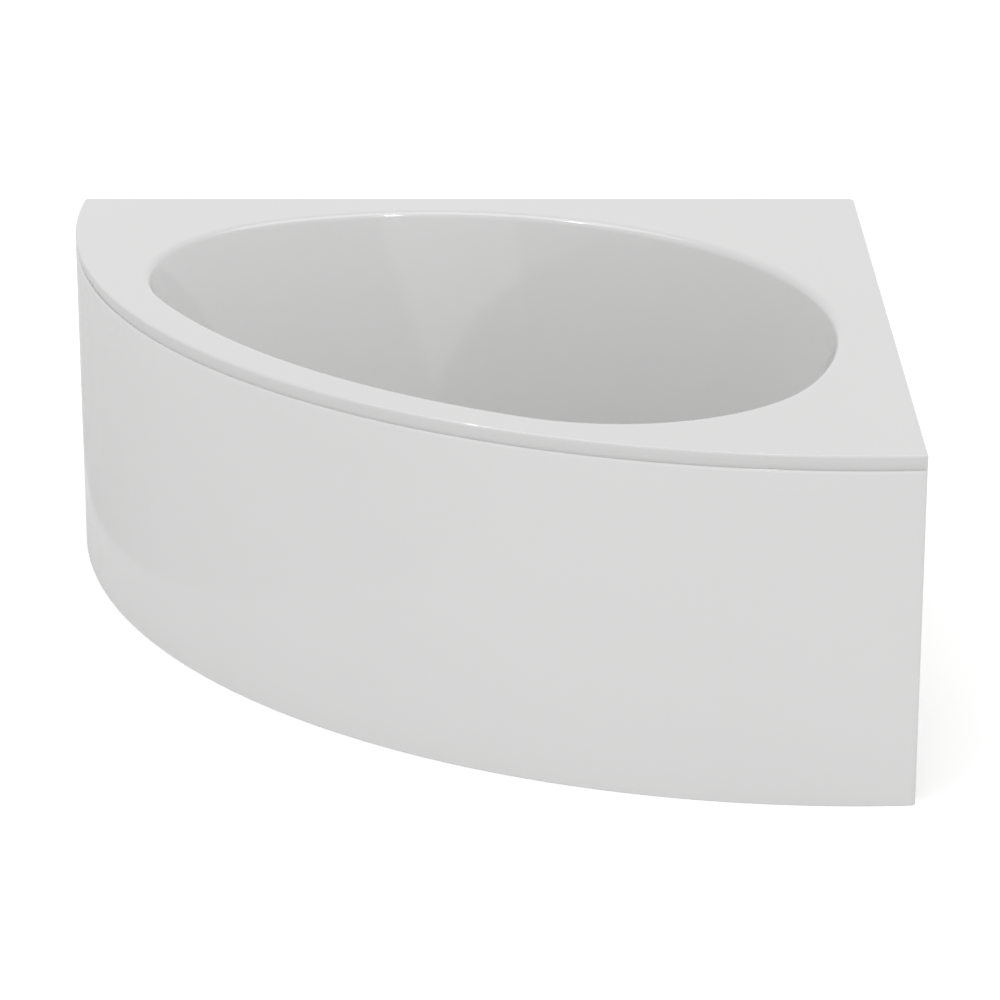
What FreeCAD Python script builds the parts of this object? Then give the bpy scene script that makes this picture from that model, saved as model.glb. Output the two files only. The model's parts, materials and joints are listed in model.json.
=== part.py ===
import FreeCAD, Part
import math
import os

from FreeCAD import Placement, Rotation, Vector

os.makedirs("parts", exist_ok=True)

# Corner bathtub with a quadrant plan: two straight sides against the walls, one round front.
# All sizes are in millimetres.
# Row frame: origin at floor level in the middle of the square footprint, +X along the back wall,
# +Y towards the back wall, +Z up, so the corner of the room stands at (+X, +Y).
# Two working frames are used, both with their origin in the corner of the room on the floor:
#   wall frame      u along the back wall, v along the side wall, both away from the corner
#   diagonal frame  d along the diagonal towards the front, e across it

# ---------------------------------------------------------------- plan and heights
FRONT_R = 1317.0            # radius of the round front
FRONT_INSET = 90.0          # centre of the front arc, off each wall
DECK_H = 578.0              # floor to deck
FLOOR_H = 143.0             # floor of the room to the inside floor of the basin
SEAT = 0.3                  # gap between a loose piece and its seat
RUN_CLEAR = 0.05            # radial clearance of a shaft or stud that moves
SCREW_CLEAR = 0.1           # radial clearance round a fixed screw

# ---------------------------------------------------------------- acrylic shell
SHELL_T = 6.0               # acrylic with its glass-fibre backing
LIP_H = 25.0                # turned-down edge of the deck
EDGE_R = 5.0                # rounding along the top of that edge
END_R = 6.5                 # upright rounding where the front meets a wall
CORNER_R = 12.0             # upright rounding in the corner of the room

# ---------------------------------------------------------------- basin
BACK_D = 410.0              # corner of the room to the back of the basin, along the diagonal
FRONT_RIM = 87.5            # front edge to the front of the basin, along the diagonal
END_SETBACK = 315.3         # front of the basin back to the centres of its round ends
END_RIM = 181.8             # tips of the basin to the round front
TOP_END_R = 200.0           # radius of the round ends at deck level
BACK_DRAFT = 70.0           # how far the back wall leans in by the floor
FRONT_DRAFT = 60.0          # the same for the front wall
END_DRAFT = 228.0           # the same for the two backrests
END_SHIFT = -41.5           # how far the end centres move along the diagonal by the floor
FLOOR_END_R = 170.0         # radius of the round ends at the floor
RIM_ROLL = 28.0             # reach of the rolled rim, along the deck and down the wall
FLOOR_ROLL = 75.0           # reach of the rounding between wall and floor
HEADING_COUNTS = (7, 8, 9)  # curves down the wall, in half the front, one end and half the back
ROLL_STEPS = 6              # curves round the basin, in the rolled rim,
WALL_STEPS = 5              # down the straight wall
BLEND_STEPS = 7             # and in the rounding to the floor

# ---------------------------------------------------------------- boards and battens under the shell
BOARD_T = 16.0              # base board
BOARD_INSET = 10.0          # base board inside the flat of the floor
BATTEN_W = 40.0             # battens along the walls
FRONT_BATTEN_W = 42.0       # batten behind the front lip
CORNER_BOARD_LEG = 320.0    # legs of the three-cornered board in the corner
CORNER_BOARD_T = 16.0

# ---------------------------------------------------------------- steel cradle
TUBE = 30.0                 # square tube
TUBE_T = 2.0                # its wall
RAIL_SETBACK = 120.0        # front rail behind the waste
RAIL_PITCH = 270.0          # back rail behind the front rail
RAIL_BACK_SHORT = 100.0     # ends of the back rail inside the foot of the backrests
RAIL_FRONT_SHORT = 30.0     # the same for the front rail
FOOT_FROM_END = 22.0        # foot centre to the end of its rail
POST_D = 230.0              # corner post and its foot
POST_PLATE = 60.0           # square plate on top of the corner post
POST_PLATE_T = 3.0

# ---------------------------------------------------------------- feet
STUD_R = 6.0
STUD_TOP_GAP = 4.0          # left above the stud in its tube when fully screwed in
FOOT_TRAVEL = 15.0          # height adjustment up and down from the middle
NUT_AF = 19.0
NUT_H = 10.0
PAD_R = 26.0
PAD_T = 7.0
PAD_BOSS_R = 13.0
PAD_BOSS_TAPER = 2.0        # wider at its foot
PAD_BOSS_H = 14.0
COLLAR_H = 6.0              # spanner collar on the stud
COLLAR_AF = 17.0
LOCK_NUT_H = 8.0

# ---------------------------------------------------------------- front panel
PANEL_T = 4.0
PANEL_FLANGE = 24.0         # returned edge all round
PANEL_TOP_R = 7.0
PANEL_END_R = 7.5
CLIP_T = 1.5                # spring clips under the front batten
CLIP_W = 40.0
CLIP_DEPTH = 30.0
CLIP_ANGLES = (-34.0, -17.0, 0.0, 17.0, 34.0)
ARM_ANGLES = (-20.0, 20.0)
ARM_W = 25.0
ARM_T = 5.0
ARM_TAB_H = 26.0
ARM_TAB_T = 4.0
ARM_START = 16.0            # arm behind the middle of the front rail
MAGNET_T = 10.0
MAGNET_W = 28.0
MAGNET_H = 18.0
KEEPER_T = 2.0
KEEPER_W = 34.0
KEEPER_H = 24.0

# ---------------------------------------------------------------- wall brackets
BRACKET_NEAR = 352.0        # along each wall from the corner
BRACKET_PITCH = 700.0       # between the two brackets on a wall
BRACKET_W = 40.0
BRACKET_T = 2.0
BRACKET_DROP = 60.0
WALL_HOLE_R = 3.5
WALL_HOLE_PITCH = 25.0
WALL_HOLE_TOP = 20.0        # upper hole below the batten

# ---------------------------------------------------------------- screws
SCREW_R = 2.2               # wood screws
SCREW_HEAD_R = 4.5
SCREW_HEAD_H = 2.6
SCREW_BITE = 13.0           # depth in the wood
FRAME_SCREW_PITCH = 200.0   # screws between the cradle and the base board

# ---------------------------------------------------------------- waste
WASTE_SETBACK = 146.8       # waste behind the foot of the front wall
DRAIN_HOLE_R = 26.0         # holes in the shell for waste and overflow
NECK_T = 4.0                # wall of the screwed necks in those holes
NECK_GAP = 0.5              # neck to hole
FLANGE_R = 36.0
FLANGE_T = 3.0
SEAL_T = 1.5                # thin seal under the flange
GASKET_T = 4.0              # thick gasket under the shell
GASKET_R = 38.0
BODY_FLANGE_R = 40.0
BODY_FLANGE_T = 4.0
BODY_R = 30.0
BODY_T = 4.0
BODY_H = 45.0
BOARD_NOTCH_R = 46.0        # cut-out of the base board
OUTLET_R = 23.0             # screwed outlet under the waste
OUTLET_T = 3.5
OUTLET_L = 16.0
NECK_L = 22.0               # neck below the flange
SPOKE_W = 5.0
HUB_R = 7.5
HUB_H = 8.0
STEM_R = 4.0
PLUG_R = 31.0
PLUG_T = 5.0
PLUG_RING = 1.6             # sealing ring under the plug
LEVER_REACH = 18.0          # pin to the tip under the stem
LEVER_W = 7.0
LEVER_T = 4.0
LEVER_PIN_R = 2.5
LEVER_EYE_R = 3.5

# ---------------------------------------------------------------- overflow
OVERFLOW_DROP = 75.0        # below the deck
OVERFLOW_GASKET_T = 3.0
OVERFLOW_BODY_R = 35.0
OVERFLOW_BODY_L = 32.0
OVERFLOW_BODY_T = 3.0
KNOB_R = 35.0
KNOB_T = 11.0
KNOB_GAP = 5.0              # water way between plate and knob
GRIP_R = 5.0
PLATE_R = 33.0
PLATE_T = 3.0
SPOUT_R = 17.0              # spouts for the hose
SPOUT_T = 4.0
SPOUT_L = 58.0              # upper spout below the overflow axis

# ---------------------------------------------------------------- hose and cable
HOSE_R = 15.5
HOSE_T = 2.5
HOSE_BEND_R = 100.0
HOSE_DROP = 30.0            # side inlet below the underside of the shell
HOSE_NUT_R = 21.0
HOSE_NUT_L = 22.0
CABLE_R = 2.5
CABLE_E = 25.0              # cable beside the hose
CABLE_BEND_R = 100.0
CABLE_BOSS_R = 5.5
CABLE_BOSS_L = 12.0

# ---------------------------------------------------------------- trap
TRAP_R = 44.0
TRAP_T = 3.0
TRAP_TOP = 63.0             # top of the cup
TRAP_BOTTOM = 12.0
DIP_R = 19.0
COLLAR_T = 3.5              # collar that the trap nut holds up
TRAP_NUT_R = 32.0
TRAP_NUT_L = 20.0
PIPE_BORE_R = 20.25         # takes a 40 mm waste pipe
SOCKET_T = 3.0
SOCKET_L = 26.0
SOCKET_START = 47.0         # socket from the middle of the trap
PIPE_SEAL_L = 8.0
TRAP_SPOUT_Z = 39.0         # outlet axis above the floor of the room
PIPE_NUT_R = 31.0
PIPE_NUT_L = 24.0
CAP_R = 24.0
CAP_T = 9.0
NUT_RIBS = 12
RIB_R = 2.0

# ---------------------------------------------------------------- worked out from the sizes above
HALF = (FRONT_INSET + FRONT_R) / 2
CENTRE_D = FRONT_INSET * math.sqrt(2)
FRONT_D = CENTRE_D + FRONT_R
BASIN_FRONT_D = FRONT_D - FRONT_RIM
END_D = BASIN_FRONT_D - END_SETBACK
END_E = math.sqrt((FRONT_R - END_RIM) ** 2 - (END_D - CENTRE_D) ** 2)
FLOOR_FRONT_D = BASIN_FRONT_D - FRONT_DRAFT
FLOOR_END_E = END_E - END_DRAFT
WASTE_D = FLOOR_FRONT_D - WASTE_SETBACK
RAIL_FRONT_D = WASTE_D - RAIL_SETBACK
RAIL_BACK_D = RAIL_FRONT_D - RAIL_PITCH
RAIL_FRONT_HALF = FLOOR_END_E - RAIL_FRONT_SHORT
RAIL_BACK_HALF = FLOOR_END_E - RAIL_BACK_SHORT
BRACKET_UV = (BRACKET_NEAR, BRACKET_NEAR + BRACKET_PITCH)
DECK_UNDER = DECK_H - SHELL_T
LIP_BOTTOM = DECK_H - LIP_H
FLOOR_UNDER = FLOOR_H - SHELL_T
BOARD_UNDER = FLOOR_UNDER - BOARD_T
TUBE_UNDER = BOARD_UNDER - TUBE
LIP_INNER = SHELL_T + SEAT
PANEL_TOP = LIP_BOTTOM - CLIP_T - SEAT
CORNER_AT = Vector(HALF, HALF, 0)
WALL_FRAME = Placement(CORNER_AT, Rotation(Vector(0, 0, 1), 180))
DIAGONAL_FRAME = Placement(CORNER_AT, Rotation(Vector(0, 0, 1), 225))
UP = Vector(0, 0, 1)
OUT_D = Vector(1, 0, 0)
ACROSS = Vector(0, 1, 0)
PIPE_OUT = Vector(-math.sqrt(0.5), math.sqrt(0.5), 0)   # the waste pipe runs square to the side wall


# ================================================================ helpers
def export(name, pieces, frame=DIAGONAL_FRAME):
    """Write one node, made of one solid or a list of them, placed in the row frame."""
    shape = Part.makeCompound(pieces) if isinstance(pieces, list) else pieces.copy()
    shape.Placement = frame.multiply(shape.Placement)
    shape.exportStep("parts/%s.step" % name)


def span_box(x, y, z):
    """Box from three (low, high) pairs."""
    size = [high - low for low, high in (x, y, z)]
    return Part.makeBox(size[0], size[1], size[2], Vector(x[0], y[0], z[0]))


def rod(radius, start, axis, length):
    return Part.makeCylinder(radius, length, start, axis)


def tube(outer, inner, start, axis, length):
    return rod(outer, start, axis, length).cut(rod(inner, start, axis, length))


def hexagon(across_flats, height, start):
    radius = across_flats / math.sqrt(3)
    turns = [math.radians(60 * i) for i in range(7)]
    corners = [start + Vector(radius * math.cos(turn), radius * math.sin(turn), 0) for turn in turns]
    return Part.Face(Part.makePolygon(corners)).extrude(UP * height)


def square_tube(length, start, axis):
    """Square tube with its middle line from start along axis, open at its ends."""
    outer = span_box((-TUBE / 2, TUBE / 2), (-TUBE / 2, TUBE / 2), (0, length))
    inner_half = TUBE / 2 - TUBE_T
    inner = span_box((-inner_half, inner_half), (-inner_half, inner_half), (0, length))
    shape = outer.cut(inner)
    shape.Placement = Placement(start, Rotation(UP, axis))
    return shape


def fillet_where(shape, radius, wanted):
    edges = [edge for edge in shape.Edges if wanted(edge)]
    return shape.makeFillet(radius, edges)


def at_height(edge, z):
    return abs(edge.BoundBox.ZMin - z) < 0.01 and abs(edge.BoundBox.ZMax - z) < 0.01


def upright(edge):
    return edge.BoundBox.XLength < 0.01 and edge.BoundBox.YLength < 0.01


def polar(angle, radius, z=0.0):
    """Point at an angle about the centre of the front arc, in the diagonal frame."""
    turn = math.radians(angle)
    return Vector(CENTRE_D + radius * math.cos(turn), radius * math.sin(turn), z)


def polar_frame(angle):
    return Placement(polar(angle, 0), Rotation(UP, angle))


def spokes(inner, outer, z_low, z_high):
    """Three flat spokes about the Z axis."""
    arms = []
    for i in range(3):
        arm = span_box((inner, outer), (-SPOKE_W / 2, SPOKE_W / 2), (z_low, z_high))
        arm.rotate(Vector(0, 0, 0), UP, 120 * i)
        arms.append(arm)
    return arms


def screw(start, axis, bite, through):
    """Wood screw with its head against start, through a plate and into the wood beyond it."""
    head = Part.makeCone(SCREW_HEAD_R - 1, SCREW_HEAD_R, SCREW_HEAD_H, start - axis * SCREW_HEAD_H, axis)
    return head.fuse(rod(SCREW_R, start, axis, bite + through))


def screw_hole(start, axis, length):
    return rod(SCREW_R + SCREW_CLEAR, start, axis, length)


# ================================================================ plan of the deck
def quadrant(inset, low, high):
    """Upright prism of the plan, in the wall frame, drawn in by inset, with its corners rounded."""
    disc = rod(FRONT_R - inset, Vector(FRONT_INSET, FRONT_INSET, low), UP, high - low)
    reach = FRONT_INSET + FRONT_R
    shape = disc.common(span_box((inset, reach), (inset, reach), (low, high)))
    if CORNER_R > inset:
        shape = fillet_where(shape, CORNER_R - inset, lambda edge: upright(edge) and in_corner(edge))
    if END_R > inset + SEAT:
        shape = fillet_where(shape, END_R - inset, lambda edge: upright(edge) and not in_corner(edge))
    return shape


def in_corner(edge):
    """True for an edge in the corner of the room, and false at the ends of the front."""
    return max(edge.BoundBox.XMin, edge.BoundBox.YMin) < FRONT_R / 2


# ================================================================ basin
def crossing_radius(reach, half, end_radius):
    """Radius of the arc across the diagonal that touches both end arcs."""
    return (reach ** 2 + half ** 2 - end_radius ** 2) / (2 * (reach - end_radius))


class Outline:
    """Egg-shaped outline of four touching arcs, found by the heading of its outward normal."""

    def __init__(self, back, front, half_length, end_d, end_radius):
        self.end_d, self.end_radius = end_d, end_radius
        self.end_e = half_length - end_radius
        self.back_radius = crossing_radius(end_d - back, self.end_e, end_radius)
        self.front_radius = crossing_radius(front - end_d, self.end_e, end_radius)
        self.back_centre = back + self.back_radius
        self.front_centre = front - self.front_radius
        self.front_turn = math.atan2(self.end_e, end_d - self.front_centre)
        self.back_turn = math.atan2(self.end_e, end_d - self.back_centre)

    def point(self, heading):
        side = 1 if heading >= 0 else -1
        turn = abs(heading)
        if turn <= self.front_turn:
            centre, offset, radius = self.front_centre, 0.0, self.front_radius
        elif turn <= self.back_turn:
            centre, offset, radius = self.end_d, self.end_e, self.end_radius
        else:
            centre, offset, radius = self.back_centre, 0.0, self.back_radius
        return Vector(centre + radius * math.cos(turn), side * (offset + radius * math.sin(turn)), 0)


TOP_LINE = Outline(BACK_D, BASIN_FRONT_D, END_E, END_D, TOP_END_R)
FLOOR_LINE = Outline(BACK_D + BACK_DRAFT, FLOOR_FRONT_D, FLOOR_END_E, END_D + END_SHIFT, FLOOR_END_R)


def headings():
    """Headings round the basin, closer together round the ends, from the back over the +E side."""
    bounds = (0.0, TOP_LINE.front_turn, TOP_LINE.back_turn, math.pi)
    half = []
    for low, high, count in zip(bounds, bounds[1:], HEADING_COUNTS):
        half += [low + (high - low) * i / count for i in range(count)]
    return [math.pi] + half[::-1] + [-turn for turn in half[1:]]


def wall_profile(heading):
    """Points down the wall with their normals, both as (outward, up) pairs with a place in plan."""
    normal = Vector(math.cos(heading), math.sin(heading), 0)
    top = TOP_LINE.point(heading) + UP * DECK_H
    foot = FLOOR_LINE.point(heading) + UP * FLOOR_H
    fall = (foot - top).normalize()
    roll = (top + normal * RIM_ROLL, top, top + fall * RIM_ROLL)
    blend = (foot - fall * FLOOR_ROLL, foot, foot - normal * FLOOR_ROLL)
    slope = blend[0] - roll[2]
    points = [curve_point(roll, i / ROLL_STEPS) for i in range(ROLL_STEPS + 1)]
    points += [(roll[2] + slope * (i / WALL_STEPS), fall) for i in range(1, WALL_STEPS)]
    points += [curve_point(blend, i / BLEND_STEPS) for i in range(BLEND_STEPS + 1)]
    profile = []
    for point, tangent in points:
        outward = tangent.dot(normal)
        skin_normal = (normal * -tangent.z + UP * outward).normalize()
        profile.append((point, skin_normal))
    return profile


def curve_point(corners, share):
    """Point and tangent on the parabola that rounds off a corner."""
    start, corner, end = corners
    point = start * (1 - share) ** 2 + corner * (2 * share * (1 - share)) + end * share ** 2
    tangent = (corner - start) * (1 - share) + (end - corner) * share
    return point, tangent.normalize()


def basin_skin(offset):
    """Skin of the basin as a surface, offset outwards from the side the water touches."""
    profiles = [wall_profile(heading) for heading in headings()]
    count = len(profiles)
    knots = [i / count for i in range(count + 1)]
    wires = []
    for level in range(len(profiles[0])):
        ring = [profile[level][0] + profile[level][1] * offset for profile in profiles]
        curve = Part.BSplineCurve()
        curve.interpolate(Points=ring, PeriodicFlag=True, Parameters=knots)
        wires.append(Part.Wire(curve.toShape()))
    return Part.makeLoft(wires, False, False)


def sewn_air(block, plane_z, skin):
    """Close block and basin skin into one solid through the face of block at plane_z."""
    faces = []
    for face in block.Faces:
        if at_height(face, plane_z):
            opening = [edge for edge in skin.Edges if at_height(edge, plane_z)]
            faces.append(Part.Face([face.OuterWire, Part.Wire(opening)]))
        else:
            faces.append(face)
    lowest = min(skin.Edges, key=lambda edge: edge.BoundBox.ZMax)
    faces += skin.Faces + [Part.Face(Part.Wire([lowest]))]
    shell = Part.makeShell(faces)
    shell.sewShape()
    solid = Part.makeSolid(shell)
    if solid.Volume < 0:
        solid.reverse()
    return solid


def overflow_frame():
    """Frame on the inside of the front wall, its Z axis square to the wall and into the basin."""
    top = TOP_LINE.point(0.0) + UP * DECK_H
    foot = FLOOR_LINE.point(0.0) + UP * FLOOR_H
    fall = (foot - top).normalize()
    into_basin = Vector(fall.z, 0, -fall.x)
    return Placement(top + (foot - top) * OVERFLOW_SHARE, Rotation(UP, into_basin))


OVERFLOW_SHARE = OVERFLOW_DROP / (DECK_H - FLOOR_H)
OVERFLOW_FRAME = overflow_frame()


def bath_shell():
    """Deck with a turned-down lip and a rolled rim, and the basin, all of one thickness."""
    margin = 10 * SHELL_T
    upper = on_diagonal(quadrant(0.0, LIP_BOTTOM, DECK_H + margin))
    lower = on_diagonal(quadrant(3 * SHELL_T, FLOOR_UNDER - margin, LIP_BOTTOM))
    reach = FRONT_D + margin
    sky = span_box((-margin, reach), (-reach, reach), (DECK_H, DECK_H + 2 * margin))
    ground = on_diagonal(quadrant(SHELL_T, FLOOR_UNDER - 2 * margin, DECK_UNDER))
    above = sewn_air(sky, DECK_H, basin_skin(0.0))
    below = sewn_air(ground, DECK_UNDER, basin_skin(SHELL_T))
    shape = upper.fuse(lower).cut([above, below])
    shape = fillet_where(shape, EDGE_R, lambda edge: at_height(edge, DECK_H) and not edge.isClosed())
    waste_hole = rod(DRAIN_HOLE_R, waste_at(FLOOR_UNDER - 1), UP, SHELL_T + 2)
    overflow_hole = in_overflow(rod(DRAIN_HOLE_R, Vector(0, 0, -2 * SHELL_T), UP, 3 * SHELL_T))
    return shape.cut([waste_hole, overflow_hole])


def on_diagonal(shape):
    """Move a shape drawn in the wall frame into the diagonal frame."""
    shape.Placement = DIAGONAL_FRAME.inverse().multiply(WALL_FRAME).multiply(shape.Placement)
    return shape


def in_overflow(shape):
    """Move a shape drawn about the overflow's axis into the diagonal frame."""
    shape.Placement = OVERFLOW_FRAME.multiply(shape.Placement)
    return shape


def waste_at(z):
    return Vector(WASTE_D, 0, z)


export("bath_shell", bath_shell())


# ================================================================ boards and battens
BATTEN_EDGE = LIP_INNER + BATTEN_W
BOARD_EDGE = BATTEN_EDGE + SEAT
FRAME_SCREW_AT = [Vector(d, e, TUBE_UNDER) for d in (RAIL_BACK_D, RAIL_FRONT_D)
                  for e in (-1.5 * FRAME_SCREW_PITCH, -0.5 * FRAME_SCREW_PITCH,
                            0.5 * FRAME_SCREW_PITCH, 1.5 * FRAME_SCREW_PITCH)]
POST_TOP = DECK_UNDER - CORNER_BOARD_T - POST_PLATE_T
POST_SCREW_OFFSET = POST_PLATE / 2 - 2 * SCREW_HEAD_R
POST_SCREW_AT = [Vector(POST_D + side * POST_SCREW_OFFSET, -side * POST_SCREW_OFFSET, POST_TOP)
                 for side in (-1, 1)]
CLIP_SCREW_AT = [polar(angle, FRONT_R - LIP_INNER - FRONT_BATTEN_W + CLIP_DEPTH / 2 - SCREW_HEAD_R,
                       LIP_BOTTOM - CLIP_T) for angle in CLIP_ANGLES]
BRACKET_SCREW_V = LIP_INNER + BATTEN_W / 2


def ring_sector(outer, inner, low, high, margin):
    """Piece of a ring about the centre of the front arc, margin off both walls, in the wall frame."""
    ring = tube(outer, inner, Vector(FRONT_INSET, FRONT_INSET, low), UP, high - low)
    reach = FRONT_INSET + outer
    return ring.common(span_box((margin, reach), (margin, reach), (low, high)))


def outline_face(line, inset, z):
    """Flat face inside an outline, drawn in by inset."""
    def point(heading):
        return line.point(heading) - Vector(math.cos(heading), math.sin(heading), 0) * inset + UP * z

    front, back = line.front_turn, line.back_turn
    spans = ((-front, 0.0, front), (front, (front + back) / 2, back), (back, math.pi, -back),
             (-back, -(front + back) / 2, -front))
    arcs = [Part.Arc(point(a), point(b), point(c)).toShape() for a, b, c in spans]
    return Part.Face(Part.Wire(arcs))


def base_board():
    """Chipboard bonded under the floor, cut out round the waste."""
    board = outline_face(FLOOR_LINE, FLOOR_ROLL + BOARD_INSET, BOARD_UNDER).extrude(UP * BOARD_T)
    low, high = BOARD_UNDER - 1, FLOOR_UNDER + 1
    notch = [rod(BOARD_NOTCH_R, waste_at(low), UP, high - low),
             span_box((WASTE_D, FRONT_D), (-BOARD_NOTCH_R, BOARD_NOTCH_R), (low, high))]
    holes = [screw_hole(at, UP, TUBE + SCREW_BITE) for at in FRAME_SCREW_AT]
    return board.cut(notch + holes)


def bracket_spots(z):
    """Where the wall brackets are screwed on, in the wall frame: back wall first, then side wall."""
    back = [Vector(u, BRACKET_SCREW_V, z) for u in BRACKET_UV]
    side = [Vector(BRACKET_SCREW_V, v, z) for v in BRACKET_UV]
    return back, side


def rim_battens():
    inside = quadrant(LIP_INNER, LIP_BOTTOM, DECK_UNDER)
    reach = FRONT_INSET + FRONT_R
    level = (LIP_BOTTOM, DECK_UNDER)
    back = span_box((LIP_INNER, reach), (LIP_INNER, BATTEN_EDGE), level).common(inside)
    side = span_box((LIP_INNER, BATTEN_EDGE), (BOARD_EDGE, reach), level).common(inside)
    back_spots, side_spots = bracket_spots(LIP_BOTTOM)
    back = back.cut([screw_hole(at, UP, SCREW_BITE) for at in back_spots])
    side = side.cut([screw_hole(at, UP, SCREW_BITE) for at in side_spots])
    export("rim_batten_back", back, WALL_FRAME)
    export("rim_batten_side", side, WALL_FRAME)
    front = on_diagonal(ring_sector(FRONT_R - LIP_INNER, FRONT_R - LIP_INNER - FRONT_BATTEN_W,
                                    LIP_BOTTOM, DECK_UNDER, BOARD_EDGE))
    export("rim_batten_front", front.cut([screw_hole(at, UP, CLIP_T + SCREW_BITE) for at in CLIP_SCREW_AT]))


def corner_board():
    corners = [(BOARD_EDGE, BOARD_EDGE), (BOARD_EDGE + CORNER_BOARD_LEG, BOARD_EDGE),
               (BOARD_EDGE, BOARD_EDGE + CORNER_BOARD_LEG), (BOARD_EDGE, BOARD_EDGE)]
    points = [Vector(u, v, DECK_UNDER - CORNER_BOARD_T) for u, v in corners]
    board = on_diagonal(Part.Face(Part.makePolygon(points)).extrude(UP * CORNER_BOARD_T))
    return board.cut([screw_hole(at, UP, POST_PLATE_T + SCREW_BITE) for at in POST_SCREW_AT])


export("base_board", base_board())
rim_battens()
export("corner_board", corner_board())

# ================================================================ steel cradle
FEET = {
    "back_left": Vector(RAIL_BACK_D, -RAIL_BACK_HALF + FOOT_FROM_END, 0),
    "back_right": Vector(RAIL_BACK_D, RAIL_BACK_HALF - FOOT_FROM_END, 0),
    "front_left": Vector(RAIL_FRONT_D, -RAIL_FRONT_HALF + FOOT_FROM_END, 0),
    "front_right": Vector(RAIL_FRONT_D, RAIL_FRONT_HALF - FOOT_FROM_END, 0),
    "corner": Vector(POST_D, 0, 0),
}
TUBE_MIDDLE = TUBE_UNDER + TUBE / 2
ARM_SCREW_R = (RAIL_FRONT_D - CENTRE_D) / math.cos(math.radians(ARM_ANGLES[1]))
ARM_UNDER = TUBE_UNDER - ARM_T
ARM_SCREW_AT = [polar(angle, ARM_SCREW_R, ARM_UNDER) for angle in ARM_ANGLES]


def cradle_tubes():
    """Two rails across the diagonal and a spine along it, all under the base board."""
    holes = [rod(STUD_R + NECK_GAP, at + UP * (TUBE_UNDER - 1), UP, TUBE_T + 2) for at in FEET.values()]
    holes += [screw_hole(at, UP, TUBE) for at in FRAME_SCREW_AT]
    holes += [screw_hole(at, UP, ARM_T + SCREW_BITE) for at in ARM_SCREW_AT]
    half = TUBE / 2
    spine_start = POST_D - FOOT_FROM_END
    tubes = {
        "rail_back": (RAIL_BACK_D, -RAIL_BACK_HALF, ACROSS, 2 * RAIL_BACK_HALF),
        "rail_front": (RAIL_FRONT_D, -RAIL_FRONT_HALF, ACROSS, 2 * RAIL_FRONT_HALF),
        "spine_back": (spine_start, 0, OUT_D, RAIL_BACK_D - half - spine_start),
        "spine_front": (RAIL_BACK_D + half, 0, OUT_D, RAIL_FRONT_D - RAIL_BACK_D - TUBE),
    }
    for name, (d, e, axis, length) in tubes.items():
        export("cradle_" + name, square_tube(length, Vector(d, e, TUBE_MIDDLE), axis).cut(holes))


def corner_post():
    """Upright on the spine with a plate under the corner board."""
    post = square_tube(POST_TOP - BOARD_UNDER, Vector(POST_D, 0, BOARD_UNDER), UP)
    half = POST_PLATE / 2
    plate = span_box((POST_D - half, POST_D + half), (-half, half), (POST_TOP, POST_TOP + POST_PLATE_T))
    return post.fuse(plate).cut([screw_hole(at, UP, POST_PLATE_T) for at in POST_SCREW_AT])


cradle_tubes()
export("corner_post", corner_post())
export("cradle_screws", [screw(at, UP, SCREW_BITE, TUBE) for at in FRAME_SCREW_AT]
       + [screw(at, UP, SCREW_BITE, POST_PLATE_T) for at in POST_SCREW_AT])

# ================================================================ adjustable feet
STUD_TOP = BOARD_UNDER - TUBE_T - STUD_TOP_GAP - FOOT_TRAVEL
BOSS_TOP = PAD_T + PAD_BOSS_H
LOCK_TOP = TUBE_UNDER - NUT_H


def foot_nut(at, top, height):
    nut = hexagon(NUT_AF, height, at + UP * (top - height))
    bevel = Part.makeCone(NUT_AF / 2 + height, NUT_AF / 2, height, at + UP * (top - height), UP)
    flip = Part.makeCone(NUT_AF / 2, NUT_AF / 2 + height, height, at + UP * (top - height), UP)
    return nut.common(bevel).common(flip).cut(rod(STUD_R + RUN_CLEAR, at, UP, top))


def foot_stud(at):
    """Threaded stud with a spanner collar that rests on the pad."""
    stud = rod(STUD_R, at + UP * (PAD_T / 2), UP, STUD_TOP - PAD_T / 2)
    stud = fillet_where(stud, STUD_R / 5, lambda edge: at_height(edge, STUD_TOP))
    return stud.fuse(hexagon(COLLAR_AF, COLLAR_H, at + UP * BOSS_TOP))


def foot_pad(at):
    """Plastic pad with a boss that the stud stands in."""
    disc = fillet_where(rod(PAD_R, at, UP, PAD_T), PAD_T / 4, lambda edge: at_height(edge, PAD_T))
    boss = Part.makeCone(PAD_BOSS_R + PAD_BOSS_TAPER, PAD_BOSS_R, PAD_BOSS_H, at + UP * PAD_T, UP)
    return disc.fuse(boss).cut(rod(STUD_R + RUN_CLEAR, at + UP * (PAD_T / 2), UP, STUD_TOP))


for foot, spot in FEET.items():
    export("foot_stud_" + foot, foot_stud(spot))
    export("foot_pad_" + foot, foot_pad(spot))
export("weld_nuts", [foot_nut(spot, TUBE_UNDER, NUT_H) for spot in FEET.values()])
export("lock_nuts", [foot_nut(spot, LOCK_TOP, LOCK_NUT_H) for spot in FEET.values()])

# ================================================================ wall brackets
WALL_HOLE_Z = (LIP_BOTTOM - WALL_HOLE_TOP, LIP_BOTTOM - WALL_HOLE_TOP - WALL_HOLE_PITCH)


def wall_bracket(along):
    """Angle under the lip: one leg against the back wall, the other under the batten."""
    width = (along - BRACKET_W / 2, along + BRACKET_W / 2)
    shelf = span_box(width, (0, BATTEN_EDGE), (LIP_BOTTOM - BRACKET_T, LIP_BOTTOM))
    leg = span_box(width, (0, BRACKET_T), (LIP_BOTTOM - BRACKET_DROP, LIP_BOTTOM))
    holes = [rod(WALL_HOLE_R, Vector(along, -1, z), ACROSS, BRACKET_T + 2) for z in WALL_HOLE_Z]
    holes.append(screw_hole(Vector(along, BRACKET_SCREW_V, LIP_BOTTOM - BRACKET_T), UP, BRACKET_T))
    return shelf.fuse(leg).cut(holes)


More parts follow.
